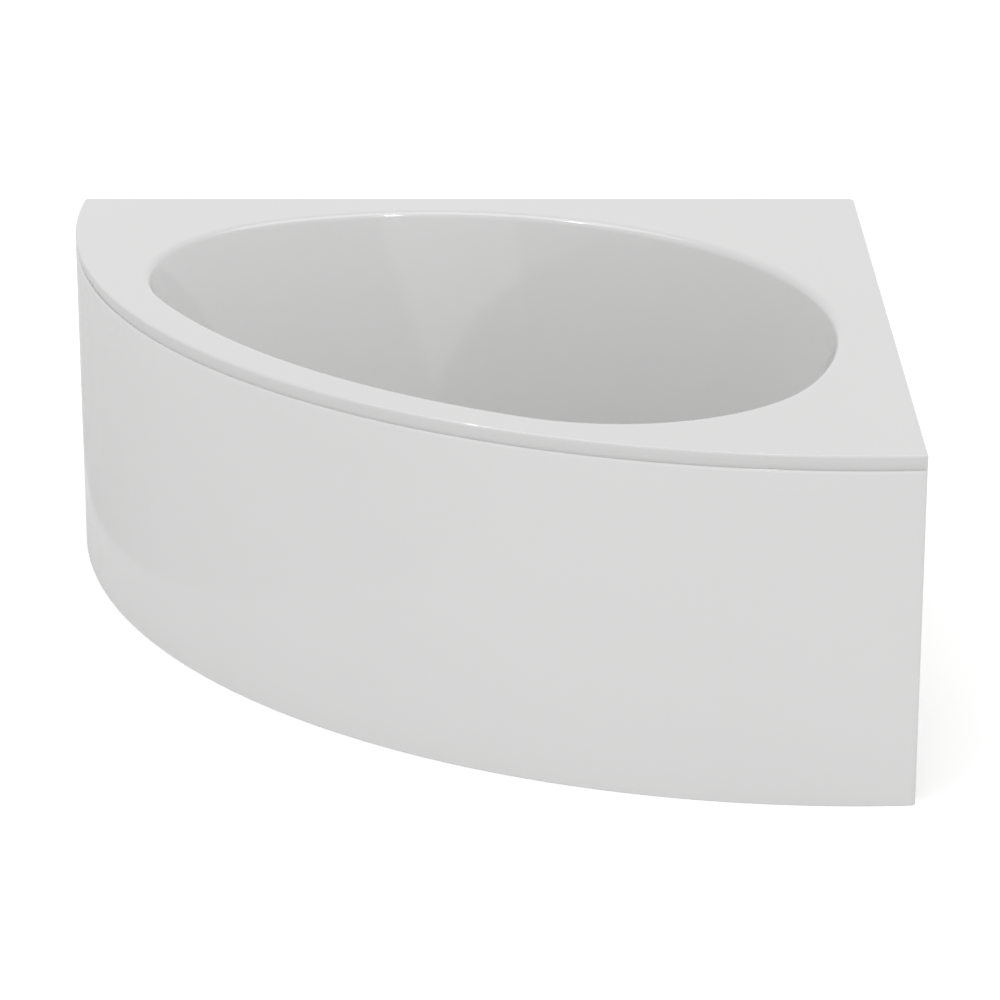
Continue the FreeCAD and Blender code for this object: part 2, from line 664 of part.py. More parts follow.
def mirrored(shape):
    """The same piece on the other wall."""
    return shape.mirror(Vector(0, 0, 0), Vector(1, -1, 0).normalize())


BACK_BRACKETS = [wall_bracket(along) for along in BRACKET_UV]
export("wall_brackets", BACK_BRACKETS + [mirrored(shape) for shape in BACK_BRACKETS], WALL_FRAME)
BRACKET_SCREW_SPOTS = bracket_spots(LIP_BOTTOM - BRACKET_T)
export("bracket_screws", [screw(at, UP, SCREW_BITE - BRACKET_T, BRACKET_T)
                          for spots in BRACKET_SCREW_SPOTS for at in spots], WALL_FRAME)

# ================================================================ front panel and what holds it
KEEPER_FACE = FRONT_R - PANEL_T - SEAT - KEEPER_T
MAGNET_FACE = KEEPER_FACE - SEAT
TAB_FACE = MAGNET_FACE - MAGNET_T
CATCH_Z = ARM_UNDER + ARM_TAB_H - MAGNET_H / 2 - SCREW_HEAD_H


def on_front(edge):
    """True for an edge whose middle lies on the round front."""
    middle = edge.valueAt((edge.FirstParameter + edge.LastParameter) / 2)
    return math.hypot(middle.x - CENTRE_D, middle.y) > FRONT_R - 1


def front_panel():
    """Curved tray: skin, returned edges above and below, and a return against each wall."""
    tray = ring_sector(FRONT_R, FRONT_R - PANEL_FLANGE, 0, PANEL_TOP, 0)
    pocket_top = PANEL_TOP - PANEL_T
    pocket = ring_sector(FRONT_R - PANEL_T, FRONT_R - 2 * PANEL_FLANGE, PANEL_T, pocket_top, PANEL_T)
    tray = on_diagonal(tray.cut(pocket))
    tray = fillet_where(tray, PANEL_END_R, lambda edge: upright(edge) and on_front(edge))
    return fillet_where(tray, PANEL_TOP_R, lambda edge: at_height(edge, PANEL_TOP) and on_front(edge))


def panel_clip(angle):
    """Spring clip: upper leaf under the batten, web behind the panel's edge, lower leaf under it."""
    half = CLIP_W / 2
    start = FRONT_R - LIP_INNER - FRONT_BATTEN_W + SCREW_HEAD_R / 2
    web = FRONT_R - PANEL_FLANGE - SEAT
    low = PANEL_TOP - PANEL_T - SEAT
    upper = span_box((start, start + CLIP_DEPTH), (-half, half), (LIP_BOTTOM - CLIP_T, LIP_BOTTOM))
    back = span_box((web - CLIP_T, web), (-half, half), (low - CLIP_T, LIP_BOTTOM))
    lower = span_box((web - CLIP_T, web + CLIP_DEPTH / 2), (-half, half), (low - CLIP_T, low))
    clip = upper.fuse([back, lower]).removeSplitter()
    clip.Placement = polar_frame(angle)
    return clip


def panel_arm(angle):
    """Flat steel arm under the front rail with its end turned up behind the panel."""
    half = ARM_W / 2
    arm = span_box((ARM_SCREW_R - ARM_START, TAB_FACE), (-half, half), (ARM_UNDER, TUBE_UNDER))
    tab = span_box((TAB_FACE - ARM_TAB_T, TAB_FACE), (-half, half), (ARM_UNDER, ARM_UNDER + ARM_TAB_H))
    arm = arm.fuse(tab).removeSplitter()
    arm.Placement = polar_frame(angle)
    return arm


def catch_blocks(face, thickness, width, height):
    """Flat blocks behind face, at the height of the catches, one for each arm."""
    blocks = []
    for angle in ARM_ANGLES:
        block = span_box((face - thickness, face), (-width / 2, width / 2),
                         (CATCH_Z - height / 2, CATCH_Z + height / 2))
        block.Placement = polar_frame(angle)
        blocks.append(block)
    return blocks


export("front_panel", front_panel())
export("keeper_plates", catch_blocks(KEEPER_FACE + KEEPER_T, KEEPER_T, KEEPER_W, KEEPER_H))
export("catch_magnets", catch_blocks(MAGNET_FACE, MAGNET_T, MAGNET_W, MAGNET_H))
export("panel_arms", [panel_arm(angle).cut([screw_hole(at, UP, ARM_T) for at in ARM_SCREW_AT])
                      for angle in ARM_ANGLES])
export("arm_screws", [screw(at, UP, SCREW_BITE - ARM_T, ARM_T) for at in ARM_SCREW_AT])
export("panel_clips", [panel_clip(angle).cut([screw_hole(at, UP, CLIP_T) for at in CLIP_SCREW_AT])
                       for angle in CLIP_ANGLES])
export("clip_screws", [screw(at, UP, SCREW_BITE - CLIP_T, CLIP_T) for at in CLIP_SCREW_AT])

# ================================================================ waste and pop-up plug
NECK_R = DRAIN_HOLE_R - NECK_GAP
NECK_BORE_R = NECK_R - NECK_T
PLATE_UNDER = FLOOR_H + SEAL_T
PLATE_TOP = PLATE_UNDER + FLANGE_T
GASKET_UNDER = FLOOR_UNDER - GASKET_T
NECK_UNDER = PLATE_UNDER - NECK_L
BODY_UNDER = GASKET_UNDER - BODY_H
OUTLET_END = BODY_UNDER - OUTLET_L
INLET_Z = FLOOR_UNDER - HOSE_DROP
HUB_UNDER = NECK_UNDER + SPOKE_W / 2
LEVER_D = WASTE_D + STEM_R - LEVER_REACH
LEVER_Z = INLET_Z
PIN_HALF = math.sqrt(BODY_R ** 2 - (WASTE_D - LEVER_D) ** 2) - BODY_T / 2 - LEVER_PIN_R / 2
STEM_UNDER = LEVER_Z + LEVER_T / 2 + SEAT
RING_UNDER = PLATE_TOP + SEAT
PLUG_UNDER = RING_UNDER + PLUG_RING
SPOUT_BORE_R = SPOUT_R - SPOUT_T
SPOUT_END_D = WASTE_D + BODY_R + HOSE_NUT_L


def waste_flange():
    """Flange on the floor of the basin, with a neck through it and a guide for the stem."""
    plate = tube(FLANGE_R, NECK_BORE_R, waste_at(PLATE_UNDER), UP, FLANGE_T)
    plate = fillet_where(plate, FLANGE_T / 3, lambda edge: at_height(edge, PLATE_TOP))
    neck = tube(NECK_R, NECK_BORE_R, waste_at(NECK_UNDER), UP, NECK_L)
    arms = spokes(HUB_R - 1, NECK_R - NECK_T / 2, HUB_UNDER, HUB_UNDER + HUB_H)
    for arm in arms:
        arm.translate(waste_at(0))
    hub = rod(HUB_R, waste_at(HUB_UNDER), UP, HUB_H)
    guide = rod(STEM_R + RUN_CLEAR, waste_at(HUB_UNDER - 1), UP, HUB_H + 2)
    return plate.fuse([neck, hub] + arms).cut(guide)


def lever_pin(radius, half):
    return rod(radius, Vector(LEVER_D, -half, LEVER_Z), ACROSS, 2 * half)


def waste_body():
    """Body under the floor: screwed onto the neck, inlet for the hose, outlet to the trap."""
    outer = [rod(BODY_FLANGE_R, waste_at(GASKET_UNDER - BODY_FLANGE_T), UP, BODY_FLANGE_T),
             rod(OUTLET_R, waste_at(OUTLET_END), UP, OUTLET_L),
             rod(SPOUT_R, waste_at(INLET_Z), OUT_D, SPOUT_END_D - WASTE_D),
             rod(CABLE_BOSS_R, Vector(WASTE_D, CABLE_E, INLET_Z), OUT_D, BODY_R + CABLE_BOSS_L / 2)]
    shape = rod(BODY_R, waste_at(BODY_UNDER), UP, BODY_H).fuse(outer)
    chamber_low, chamber_high = BODY_UNDER + BODY_T, NECK_UNDER - 1
    hollows = [rod(BODY_R - BODY_T, waste_at(chamber_low), UP, chamber_high - chamber_low),
               rod(NECK_R + RUN_CLEAR, waste_at(chamber_high - 1), UP, BODY_H),
               rod(OUTLET_R - OUTLET_T, waste_at(OUTLET_END - 1), UP, OUTLET_L + 2 * BODY_T),
               rod(SPOUT_BORE_R, waste_at(INLET_Z), OUT_D, BODY_R + 2 * HOSE_NUT_L),
               rod(CABLE_R / 2, Vector(WASTE_D, CABLE_E, INLET_Z), OUT_D, 2 * BODY_R),
               lever_pin(LEVER_PIN_R + RUN_CLEAR, PIN_HALF + SEAT)]
    return shape.cut(hollows)


def lift_lever():
    """Lever on a cross pin, its tip under the stem of the plug."""
    half = LEVER_T / 2
    arm = span_box((LEVER_D - half, LEVER_D + LEVER_REACH), (-LEVER_W / 2, LEVER_W / 2),
                   (LEVER_Z - half, LEVER_Z + half))
    return arm.fuse([lever_pin(LEVER_PIN_R, PIN_HALF), lever_pin(LEVER_EYE_R, LEVER_W / 2)])


def plug_cap():
    """Low dome over the waste."""
    disc = rod(PLUG_R, waste_at(PLUG_UNDER), UP, PLUG_T)
    return fillet_where(disc, PLUG_T * 0.6, lambda edge: at_height(edge, PLUG_UNDER + PLUG_T))


export("waste_seal", tube(FLANGE_R - 2, DRAIN_HOLE_R, waste_at(FLOOR_H), UP, SEAL_T))
export("waste_flange", waste_flange())
export("waste_gasket", tube(GASKET_R, DRAIN_HOLE_R, waste_at(GASKET_UNDER), UP, GASKET_T))
export("waste_body", waste_body())
export("lift_lever", lift_lever())
export("plug_cap", plug_cap())
export("plug_ring", tube(NECK_R + NECK_T, NECK_R, waste_at(RING_UNDER), UP, PLUG_RING))
export("plug_stem", rod(STEM_R, waste_at(STEM_UNDER), UP, PLUG_UNDER - STEM_UNDER))

# ================================================================ overflow and its knob
# Heights here run along the overflow's axis: zero on the inside of the wall, positive into the basin.
WALL_BACK = -SHELL_T - SEAT
BODY_FRONT = WALL_BACK - OVERFLOW_GASKET_T
BODY_BACK = BODY_FRONT - OVERFLOW_BODY_L
WALL_R = TOP_LINE.front_radius + (FLOOR_LINE.front_radius - TOP_LINE.front_radius) * OVERFLOW_SHARE
WALL_SAG = PLATE_R ** 2 / (2 * WALL_R) + 2 * SEAT
PLATE_FRONT = WALL_SAG + PLATE_T
NECK_BACK = BODY_FRONT - OVERFLOW_BODY_L / 4
KNOB_BACK = PLATE_FRONT + KNOB_GAP
SPINDLE_BACK = BODY_BACK + OVERFLOW_BODY_T + SEAT
SPOUT_AT = OVERFLOW_FRAME.multVec(Vector(0, 0, (BODY_FRONT + BODY_BACK) / 2))
SPOUT_END_Z = OVERFLOW_FRAME.Base.z - SPOUT_L
CABLE_TOP_Z = SPOUT_END_Z + HOSE_NUT_L


def overflow_plate():
    """Ring on the inside of the wall, with a neck through it and a guide for the spindle."""
    plate = tube(PLATE_R, NECK_BORE_R, Vector(0, 0, WALL_SAG), UP, PLATE_T)
    plate = fillet_where(plate, PLATE_T / 3, lambda edge: at_height(edge, PLATE_FRONT))
    neck = tube(NECK_R, NECK_BORE_R, Vector(0, 0, NECK_BACK), UP, WALL_SAG - NECK_BACK)
    arms = spokes(HUB_R - 1, NECK_R - NECK_T / 2, WALL_BACK, WALL_BACK + HUB_H)
    hub = rod(HUB_R, Vector(0, 0, WALL_BACK), UP, HUB_H)
    shape = plate.fuse([neck, hub] + arms)
    return in_overflow(shape.cut(rod(STEM_R + RUN_CLEAR, Vector(0, 0, WALL_BACK - 1), UP, HUB_H + 2)))


def overflow_body():
    """Chamber behind the wall with a spout down to the hose and a boss for the cable."""
    chamber = in_overflow(rod(OVERFLOW_BODY_R, Vector(0, 0, BODY_BACK), UP, OVERFLOW_BODY_L))
    down = UP * -1
    spout_top = Vector(SPOUT_AT.x, 0, SPOUT_AT.z)
    boss_top = Vector(SPOUT_AT.x, CABLE_E, SPOUT_AT.z)
    shape = chamber.fuse([rod(SPOUT_R, spout_top, down, spout_top.z - SPOUT_END_Z),
                          rod(CABLE_BOSS_R, boss_top, down, boss_top.z - CABLE_TOP_Z)])
    room_back = BODY_BACK + OVERFLOW_BODY_T
    hollows = [in_overflow(rod(OVERFLOW_BODY_R - OVERFLOW_BODY_T, Vector(0, 0, room_back), UP,
                               NECK_BACK - 1 - room_back)),
               in_overflow(rod(NECK_R + RUN_CLEAR, Vector(0, 0, NECK_BACK - 2), UP, OVERFLOW_BODY_L)),
               rod(SPOUT_BORE_R, spout_top, down, spout_top.z),
               rod(CABLE_R / 2, boss_top, down, boss_top.z)]
    hub = in_overflow(tube(HUB_R, STEM_R + RUN_CLEAR, Vector(0, 0, room_back), UP, HUB_H))
    return shape.cut(hollows).fuse(hub)


def overflow_knob():
    """Round cap on a spindle, with a small grip on its rim that points down at rest."""
    cap = rod(KNOB_R, Vector(0, 0, KNOB_BACK), UP, KNOB_T)
    cap = fillet_where(cap, KNOB_T / 3, lambda edge: at_height(edge, KNOB_BACK + KNOB_T))
    grip = rod(GRIP_R, Vector(-KNOB_R, 0, KNOB_BACK), UP, KNOB_T)
    grip = fillet_where(grip, KNOB_T / 4, lambda edge: at_height(edge, KNOB_BACK + KNOB_T))
    hollow = rod(KNOB_R - PANEL_T, Vector(0, 0, KNOB_BACK - 1), UP, KNOB_T - PANEL_T + 1)
    spindle = rod(STEM_R, Vector(0, 0, SPINDLE_BACK), UP, KNOB_BACK + KNOB_T - PANEL_T / 2 - SPINDLE_BACK)
    return in_overflow(cap.fuse(grip).cut(hollow).fuse(spindle))


export("overflow_gasket", in_overflow(tube(OVERFLOW_BODY_R, DRAIN_HOLE_R, Vector(0, 0, BODY_FRONT), UP,
                                           OVERFLOW_GASKET_T)))
export("overflow_plate", overflow_plate())
export("overflow_body", overflow_body())
export("overflow_knob", overflow_knob())


# ================================================================ overflow hose and control cable
def bent_run(offset_e, top_z, end_d, bend_radius):
    """Path straight down behind the wall, round one bend and in to the waste."""
    drop_d = SPOUT_AT.x
    turn_z = INLET_Z + bend_radius
    middle = Vector(drop_d - bend_radius * (1 - math.sqrt(0.5)), offset_e,
                    turn_z - bend_radius * math.sqrt(0.5))
    first = Vector(drop_d, offset_e, turn_z)
    last = Vector(drop_d - bend_radius, offset_e, INLET_Z)
    return Part.Wire([Part.LineSegment(Vector(drop_d, offset_e, top_z), first).toShape(),
                      Part.Arc(first, middle, last).toShape(),
                      Part.LineSegment(last, Vector(end_d, offset_e, INLET_Z)).toShape()])


def swept(path, radius):
    start = path.Vertexes[0].Point
    section = Part.Wire(Part.Circle(start, UP, radius).toShape())
    return path.makePipeShell([section], True, False)


def hose_nut(joint, axis):
    """Nut that draws the hose onto a spout; joint is where they meet, axis runs on along the hose."""
    half = HOSE_NUT_L / 2
    nut = rod(HOSE_NUT_R, joint - axis * half, axis, HOSE_NUT_L)
    return nut.cut([rod(SPOUT_R + RUN_CLEAR, joint - axis * HOSE_NUT_L, axis, HOSE_NUT_L),
                    rod(HOSE_R + RUN_CLEAR, joint - axis, axis, HOSE_NUT_L)])


HOSE_PATH = bent_run(0.0, SPOUT_END_Z, SPOUT_END_D, HOSE_BEND_R)
CABLE_PATH = bent_run(CABLE_E, CABLE_TOP_Z, WASTE_D + BODY_R + CABLE_BOSS_L / 2, CABLE_BEND_R)
export("overflow_hose", swept(HOSE_PATH, HOSE_R).cut(swept(HOSE_PATH, HOSE_R - HOSE_T)))
export("hose_nuts", [hose_nut(Vector(SPOUT_AT.x, 0, SPOUT_END_Z), UP * -1),
                     hose_nut(Vector(SPOUT_END_D, 0, INLET_Z), OUT_D)])
export("control_cable", swept(CABLE_PATH, CABLE_R))

# ================================================================ trap
COLLAR_TOP = OUTLET_END - SEAT
INLET_R = DIP_R + TRAP_T / 2
INLET_BORE_R = INLET_R - TRAP_T
SOCKET_R = PIPE_BORE_R + SOCKET_T
SOCKET_END = SOCKET_START + TRAP_T + SOCKET_L
SEAL_END = SOCKET_END + PIPE_SEAL_L
PIPE_NUT_END = SEAL_END + SOCKET_T
CAP_BOSS_END = TRAP_R + CAP_T


def trap_body():
    """Low trap: cup with a dip tube, a socket for the waste pipe and a boss for the cleaning cap."""
    at_axis = waste_at(TRAP_SPOUT_Z)
    outer = rod(TRAP_R, waste_at(TRAP_BOTTOM), UP, TRAP_TOP - TRAP_BOTTOM)
    outer = fillet_where(outer, 2 * TRAP_T, lambda edge: at_height(edge, TRAP_BOTTOM))
    outer = outer.fuse([rod(INLET_R, waste_at(TRAP_TOP - 1), UP, COLLAR_TOP - TRAP_TOP + 1),
                        rod(OUTLET_R, waste_at(COLLAR_TOP - COLLAR_T), UP, COLLAR_T),
                        rod(SOCKET_R, at_axis, PIPE_OUT, SOCKET_END),
                        rod(CAP_R - 2 * TRAP_T, at_axis, OUT_D, CAP_BOSS_END)])
    room = rod(TRAP_R - TRAP_T, waste_at(TRAP_BOTTOM + TRAP_T), UP, TRAP_TOP - TRAP_BOTTOM - 2 * TRAP_T)
    dip_low = TRAP_BOTTOM + 3 * TRAP_T
    dip = tube(INLET_R, INLET_BORE_R, waste_at(dip_low), UP, TRAP_TOP - dip_low)
    hollows = [room, rod(INLET_BORE_R, waste_at(TRAP_TOP - TRAP_T - 1), UP, COLLAR_TOP),
               rod(PIPE_BORE_R - TRAP_T, at_axis, PIPE_OUT, SOCKET_END),
               rod(PIPE_BORE_R, at_axis + PIPE_OUT * (SOCKET_END - SOCKET_L), PIPE_OUT, SOCKET_L),
               rod(CAP_R - 3 * TRAP_T, at_axis, OUT_D, CAP_BOSS_END)]
    return outer.cut(hollows).fuse(dip)


def ribbed_nut(radius, length):
    """Hand nut about the Z axis with grip ribs round it."""
    ribs = []
    for i in range(NUT_RIBS):
        rib = rod(RIB_R, Vector(radius - RIB_R / 2, 0, 0), UP, length)
        rib.rotate(Vector(0, 0, 0), UP, 360 * i / NUT_RIBS)
        ribs.append(rib)
    return rod(radius - RIB_R / 2, Vector(0, 0, 0), UP, length).fuse(ribs)


def trap_nut():
    """Nut that holds the trap's collar up against the outlet of the waste."""
    low = COLLAR_TOP - COLLAR_T - SOCKET_T
    nut = ribbed_nut(TRAP_NUT_R, TRAP_NUT_L)
    nut.translate(waste_at(low))
    return nut.cut([rod(OUTLET_R + RUN_CLEAR, waste_at(low + SOCKET_T), UP, TRAP_NUT_L),
                    rod(INLET_R + RUN_CLEAR, waste_at(low - 1), UP, TRAP_NUT_L)])


def pipe_nut():
    """Nut on the socket, with the same bore as the socket in its end."""
    start = PIPE_NUT_END - PIPE_NUT_L
    nut = ribbed_nut(PIPE_NUT_R, PIPE_NUT_L)
    nut = nut.cut([rod(SOCKET_R + RUN_CLEAR, Vector(0, 0, -1), UP, PIPE_NUT_L - SOCKET_T + 1),
                   rod(PIPE_BORE_R, Vector(0, 0, -1), UP, PIPE_NUT_L + 2)])
    nut.Placement = Placement(waste_at(TRAP_SPOUT_Z) + PIPE_OUT * start, Rotation(UP, PIPE_OUT))
    return nut


def cleaning_cap():
    """Screwed cap on the side of the trap that faces the front panel."""
    low = CAP_BOSS_END - CAP_T + TRAP_T
    cap = ribbed_nut(CAP_R, CAP_T)
    cap = cap.cut(rod(CAP_R - 2 * TRAP_T + RUN_CLEAR, Vector(0, 0, -1), UP, CAP_T - TRAP_T + 1))
    cap.Placement = Placement(waste_at(TRAP_SPOUT_Z) + OUT_D * low, Rotation(UP, OUT_D))
    return cap


SOCKET_MOUTH = waste_at(TRAP_SPOUT_Z) + PIPE_OUT * SOCKET_END
export("trap_body", trap_body())
export("trap_nut", trap_nut())
export("pipe_seal", tube(SOCKET_R, PIPE_BORE_R, SOCKET_MOUTH, PIPE_OUT, PIPE_SEAL_L))
export("pipe_nut", pipe_nut())
export("cleaning_cap", cleaning_cap())
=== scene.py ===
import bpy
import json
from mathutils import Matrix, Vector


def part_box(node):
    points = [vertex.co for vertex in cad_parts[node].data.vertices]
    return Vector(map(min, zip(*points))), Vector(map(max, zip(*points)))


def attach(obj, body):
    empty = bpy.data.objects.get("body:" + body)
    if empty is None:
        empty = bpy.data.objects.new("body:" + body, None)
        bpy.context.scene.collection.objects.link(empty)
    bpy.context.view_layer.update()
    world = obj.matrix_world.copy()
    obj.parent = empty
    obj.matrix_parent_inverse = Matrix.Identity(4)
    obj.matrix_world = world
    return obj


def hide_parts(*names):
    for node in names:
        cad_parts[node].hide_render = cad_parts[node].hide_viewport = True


bl_info = {
    "name": "Corner Bathtub",
    "version": (1, 0, 0),
    "blender": (4, 5, 0),
    "location": "View3D > Sidebar > Bathtub",
    "description": "Finishes a quadrant corner bathtub round its packed frame",
    "category": "Object",
}

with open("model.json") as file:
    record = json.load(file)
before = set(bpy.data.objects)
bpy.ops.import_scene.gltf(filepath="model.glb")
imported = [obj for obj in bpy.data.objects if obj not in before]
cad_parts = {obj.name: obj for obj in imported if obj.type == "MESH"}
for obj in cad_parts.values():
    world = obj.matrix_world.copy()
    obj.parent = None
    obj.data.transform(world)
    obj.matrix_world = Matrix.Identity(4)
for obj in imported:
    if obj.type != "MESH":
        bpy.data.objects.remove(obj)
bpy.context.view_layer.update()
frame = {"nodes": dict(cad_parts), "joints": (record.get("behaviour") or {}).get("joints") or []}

import json
import math

import bmesh
import bpy
from mathutils import Matrix, Vector
from mathutils.geometry import delaunay_2d_cdt

SHELL_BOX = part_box("bath_shell")
HALF = SHELL_BOX[1].x
DECK_Z = SHELL_BOX[1].z
LIP_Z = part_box("rim_batten_back")[0].z
PANEL_GAP = 0.0001
PANEL_Z = LIP_Z - PANEL_GAP
CREASE = math.radians(35)
SAME_POINT = 1e-6
SAME_IN_PLANE = 1e-7
INSIDE_ONLY = 1
ROOT_HALF = math.sqrt(0.5)
UP = Vector((0, 0, 1))


# ================================================================ sizes and colours a user would change
class TubSizes(bpy.types.PropertyGroup):
    front_radius: bpy.props.FloatProperty(
        name="Front radius", description="Radius of the round front", default=1.317, unit="LENGTH")
    front_inset: bpy.props.FloatProperty(
        name="Front inset", description="Centre of the round front, off each wall",
        default=0.09, unit="LENGTH")
    thickness: bpy.props.FloatProperty(
        name="Thickness", description="Acrylic with its backing", default=0.006, unit="LENGTH")
    edge_radius: bpy.props.FloatProperty(
        name="Edge radius", description="Rounding along the top of the deck's edge",
        default=0.0038, unit="LENGTH")
    end_radius: bpy.props.FloatProperty(
        name="End radius", description="Upright rounding where the front meets a wall", default=0.0065,
        unit="LENGTH")
    corner_radius: bpy.props.FloatProperty(
        name="Corner radius", description="Upright rounding in the corner of the room", default=0.012,
        unit="LENGTH")
    back_d: bpy.props.FloatProperty(
        name="Back of basin", description="Corner of the room to the basin",
        default=0.410, unit="LENGTH")
    front_rim: bpy.props.FloatProperty(
        name="Front rim", description="Front edge to the basin", default=0.0808, unit="LENGTH")
    half_length: bpy.props.FloatProperty(
        name="Half length", description="Diagonal to the tips of the basin",
        default=0.660, unit="LENGTH")
    end_setback: bpy.props.FloatProperty(
        name="End setback", description="Front of the basin back to the centres of its round ends",
        default=0.3925, unit="LENGTH")
    lip_draft: bpy.props.FloatProperty(
        name="Lip draft", description="How far the turned-down front edge leans in",
        default=0.004, unit="LENGTH")
    rim_end_radius: bpy.props.FloatProperty(
        name="Rim end radius", description="Radius of the round ends at the deck",
        default=0.335, unit="LENGTH")
    floor_end_radius: bpy.props.FloatProperty(
        name="Floor end radius", description="Radius of the round ends at the floor", default=0.170,
        unit="LENGTH")
    back_draft: bpy.props.FloatProperty(
        name="Back draft", description="How far the back wall leans in", default=0.070, unit="LENGTH")
    front_draft: bpy.props.FloatProperty(
        name="Front draft", description="How far the front wall leans in",
        default=0.0667, unit="LENGTH")
    end_draft: bpy.props.FloatProperty(
        name="End draft", description="How far the backrests lean in", default=0.215, unit="LENGTH")
    end_shift: bpy.props.FloatProperty(
        name="End shift", description="How far the end centres move by the floor", default=0.029,
        unit="LENGTH")
    rim_radius: bpy.props.FloatProperty(
        name="Rim radius", description="Rounding from the deck into the basin",
        default=0.016, unit="LENGTH")
    floor_roll: bpy.props.FloatProperty(
        name="Floor roll", description="Reach of the rounding to the floor",
        default=0.075, unit="LENGTH")
    floor_z: bpy.props.FloatProperty(
        name="Floor height", description="Inside floor of the basin", default=0.143, unit="LENGTH")
    drain_radius: bpy.props.FloatProperty(
        name="Drain hole", description="Radius of the holes for waste and overflow", default=0.026,
        unit="LENGTH")


class PanelSizes(bpy.types.PropertyGroup):
    thickness: bpy.props.FloatProperty(
        name="Thickness", description="Wall of the panel", default=0.004, unit="LENGTH")
    flange: bpy.props.FloatProperty(
        name="Flange", description="Depth of the returned edge", default=0.024, unit="LENGTH")
    top_radius: bpy.props.FloatProperty(
        name="Top radius", description="Rounding along the top", default=0.004, unit="LENGTH")
    end_radius: bpy.props.FloatProperty(
        name="End radius", description="Rounding down each end", default=0.0075, unit="LENGTH")


class Finishes(bpy.types.PropertyGroup):
    acrylic: bpy.props.FloatVectorProperty(
        name="Acrylic", description="Colour of the tub", default=(0.672, 0.672, 0.669), subtype="COLOR")
    # Painted shade: the panel is a lighter copy of the tub's white acrylic, so that the tub's skirt above
    # it shows darker than the panel.
    panel: bpy.props.FloatVectorProperty(
        name="Panel", description="Colour of the front panel",
        default=(0.728, 0.728, 0.725), subtype="COLOR")
    floor: bpy.props.FloatVectorProperty(
        name="Studio floor", description="Colour of the floor",
        default=(0.80, 0.80, 0.80), subtype="COLOR")


# ================================================================ shader node groups and materials
GROUP_OUTPUTS = {"Color": "NodeSocketColor", "Roughness": "NodeSocketFloat", "Normal": "NodeSocketVector"}


def new_group(name, inputs):
    """Shader group with (name, socket type, default) inputs; gives the group and its input sockets."""
    group = bpy.data.node_groups.new(name, "ShaderNodeTree")
    for label, kind, value in inputs:
        socket = group.interface.new_socket(label, in_out="INPUT", socket_type=kind)
        socket.default_value = value
    for label, kind in GROUP_OUTPUTS.items():
        group.interface.new_socket(label, in_out="OUTPUT", socket_type=kind)
    return group, group.nodes.new("NodeGroupInput").outputs


def give_out(group, *values):
    """Link colour, roughness and normal to the group's outputs."""
    leave = group.nodes.new("NodeGroupOutput")
    for label, value in zip(GROUP_OUTPUTS, values):
        group.links.new(value, leave.inputs[label])


def feed(tree, value, socket):
    """Set a socket to a number, or link it to an output socket."""
    if isinstance(value, (int, float)):
        socket.default_value = value
    else:
        tree.links.new(value, socket)


def noise(tree, vector, scale, detail=2.0, rough=0.5):
    """Noise texture; scale is a number or an output socket."""
    node = tree.nodes.new("ShaderNodeTexNoise")
    node.inputs["Detail"].default_value = detail
    node.inputs["Roughness"].default_value = rough
    feed(tree, scale, node.inputs["Scale"])
    tree.links.new(vector, node.inputs["Vector"])
    return node.outputs["Fac"]


def mix_colour(tree, factor, first, second):
    """Mix two colours, each an output socket."""
    node = tree.nodes.new("ShaderNodeMix")
    node.data_type = "RGBA"
    tree.links.new(factor, node.inputs["Factor"])
    tree.links.new(first, node.inputs["A"])
    tree.links.new(second, node.inputs["B"])
    return node.outputs["Result"]


def stretch(tree, value, low, high):
    """Map a range of a value to 0..1."""
    node = tree.nodes.new("ShaderNodeMapRange")
    node.inputs["From Min"].default_value = low
    node.inputs["From Max"].default_value = high
    tree.links.new(value, node.inputs["Value"])
    return node.outputs["Result"]


def to_range(tree, value, low, high):
    """Map 0..1 to a range, whose ends are numbers or output sockets."""
    node = tree.nodes.new("ShaderNodeMapRange")
    tree.links.new(value, node.inputs["Value"])
    feed(tree, low, node.inputs["To Min"])
    feed(tree, high, node.inputs["To Max"])
    return node.outputs["Result"]


def larger(tree, first, second):
    """The larger of two values."""
    node = tree.nodes.new("ShaderNodeMath")
    node.operation = "MAXIMUM"
    tree.links.new(first, node.inputs[0])
    tree.links.new(second, node.inputs[1])
    return node.outputs["Value"]


def bump(tree, height, strength, distance):
    node = tree.nodes.new("ShaderNodeBump")
    tree.links.new(strength, node.inputs["Strength"])
    node.inputs["Distance"].default_value = distance
    tree.links.new(height, node.inputs["Height"])
    return node.outputs["Normal"]


def object_vector(tree):
    return tree.nodes.new("ShaderNodeTexCoord").outputs["Object"]


def make_tone_group():
    """Slow drift between two near colours, and a fine surface texture."""
    group, enter = new_group(
        "tone_and_skin",
        [("Light", "NodeSocketColor", (0.8, 0.8, 0.8, 1)), ("Dark", "NodeSocketColor", (0.7, 0.7, 0.7, 1)),
         ("Patch Scale", "NodeSocketFloat", 6.0), ("Skin Scale", "NodeSocketFloat", 300.0),
         ("Skin Strength", "NodeSocketFloat", 0.05), ("Rough Low", "NodeSocketFloat", 0.2),
         ("Rough High", "NodeSocketFloat", 0.3)])
    vector = object_vector(group)
    patches = stretch(group, noise(group, vector, enter["Patch Scale"]), 0.3, 0.7)
    skin = noise(group, vector, enter["Skin Scale"], 3.0)
    give_out(group, mix_colour(group, patches, enter["Dark"], enter["Light"]),
             to_range(group, patches, enter["Rough Low"], enter["Rough High"]),
             bump(group, skin, enter["Skin Strength"], 0.0005))
    return group


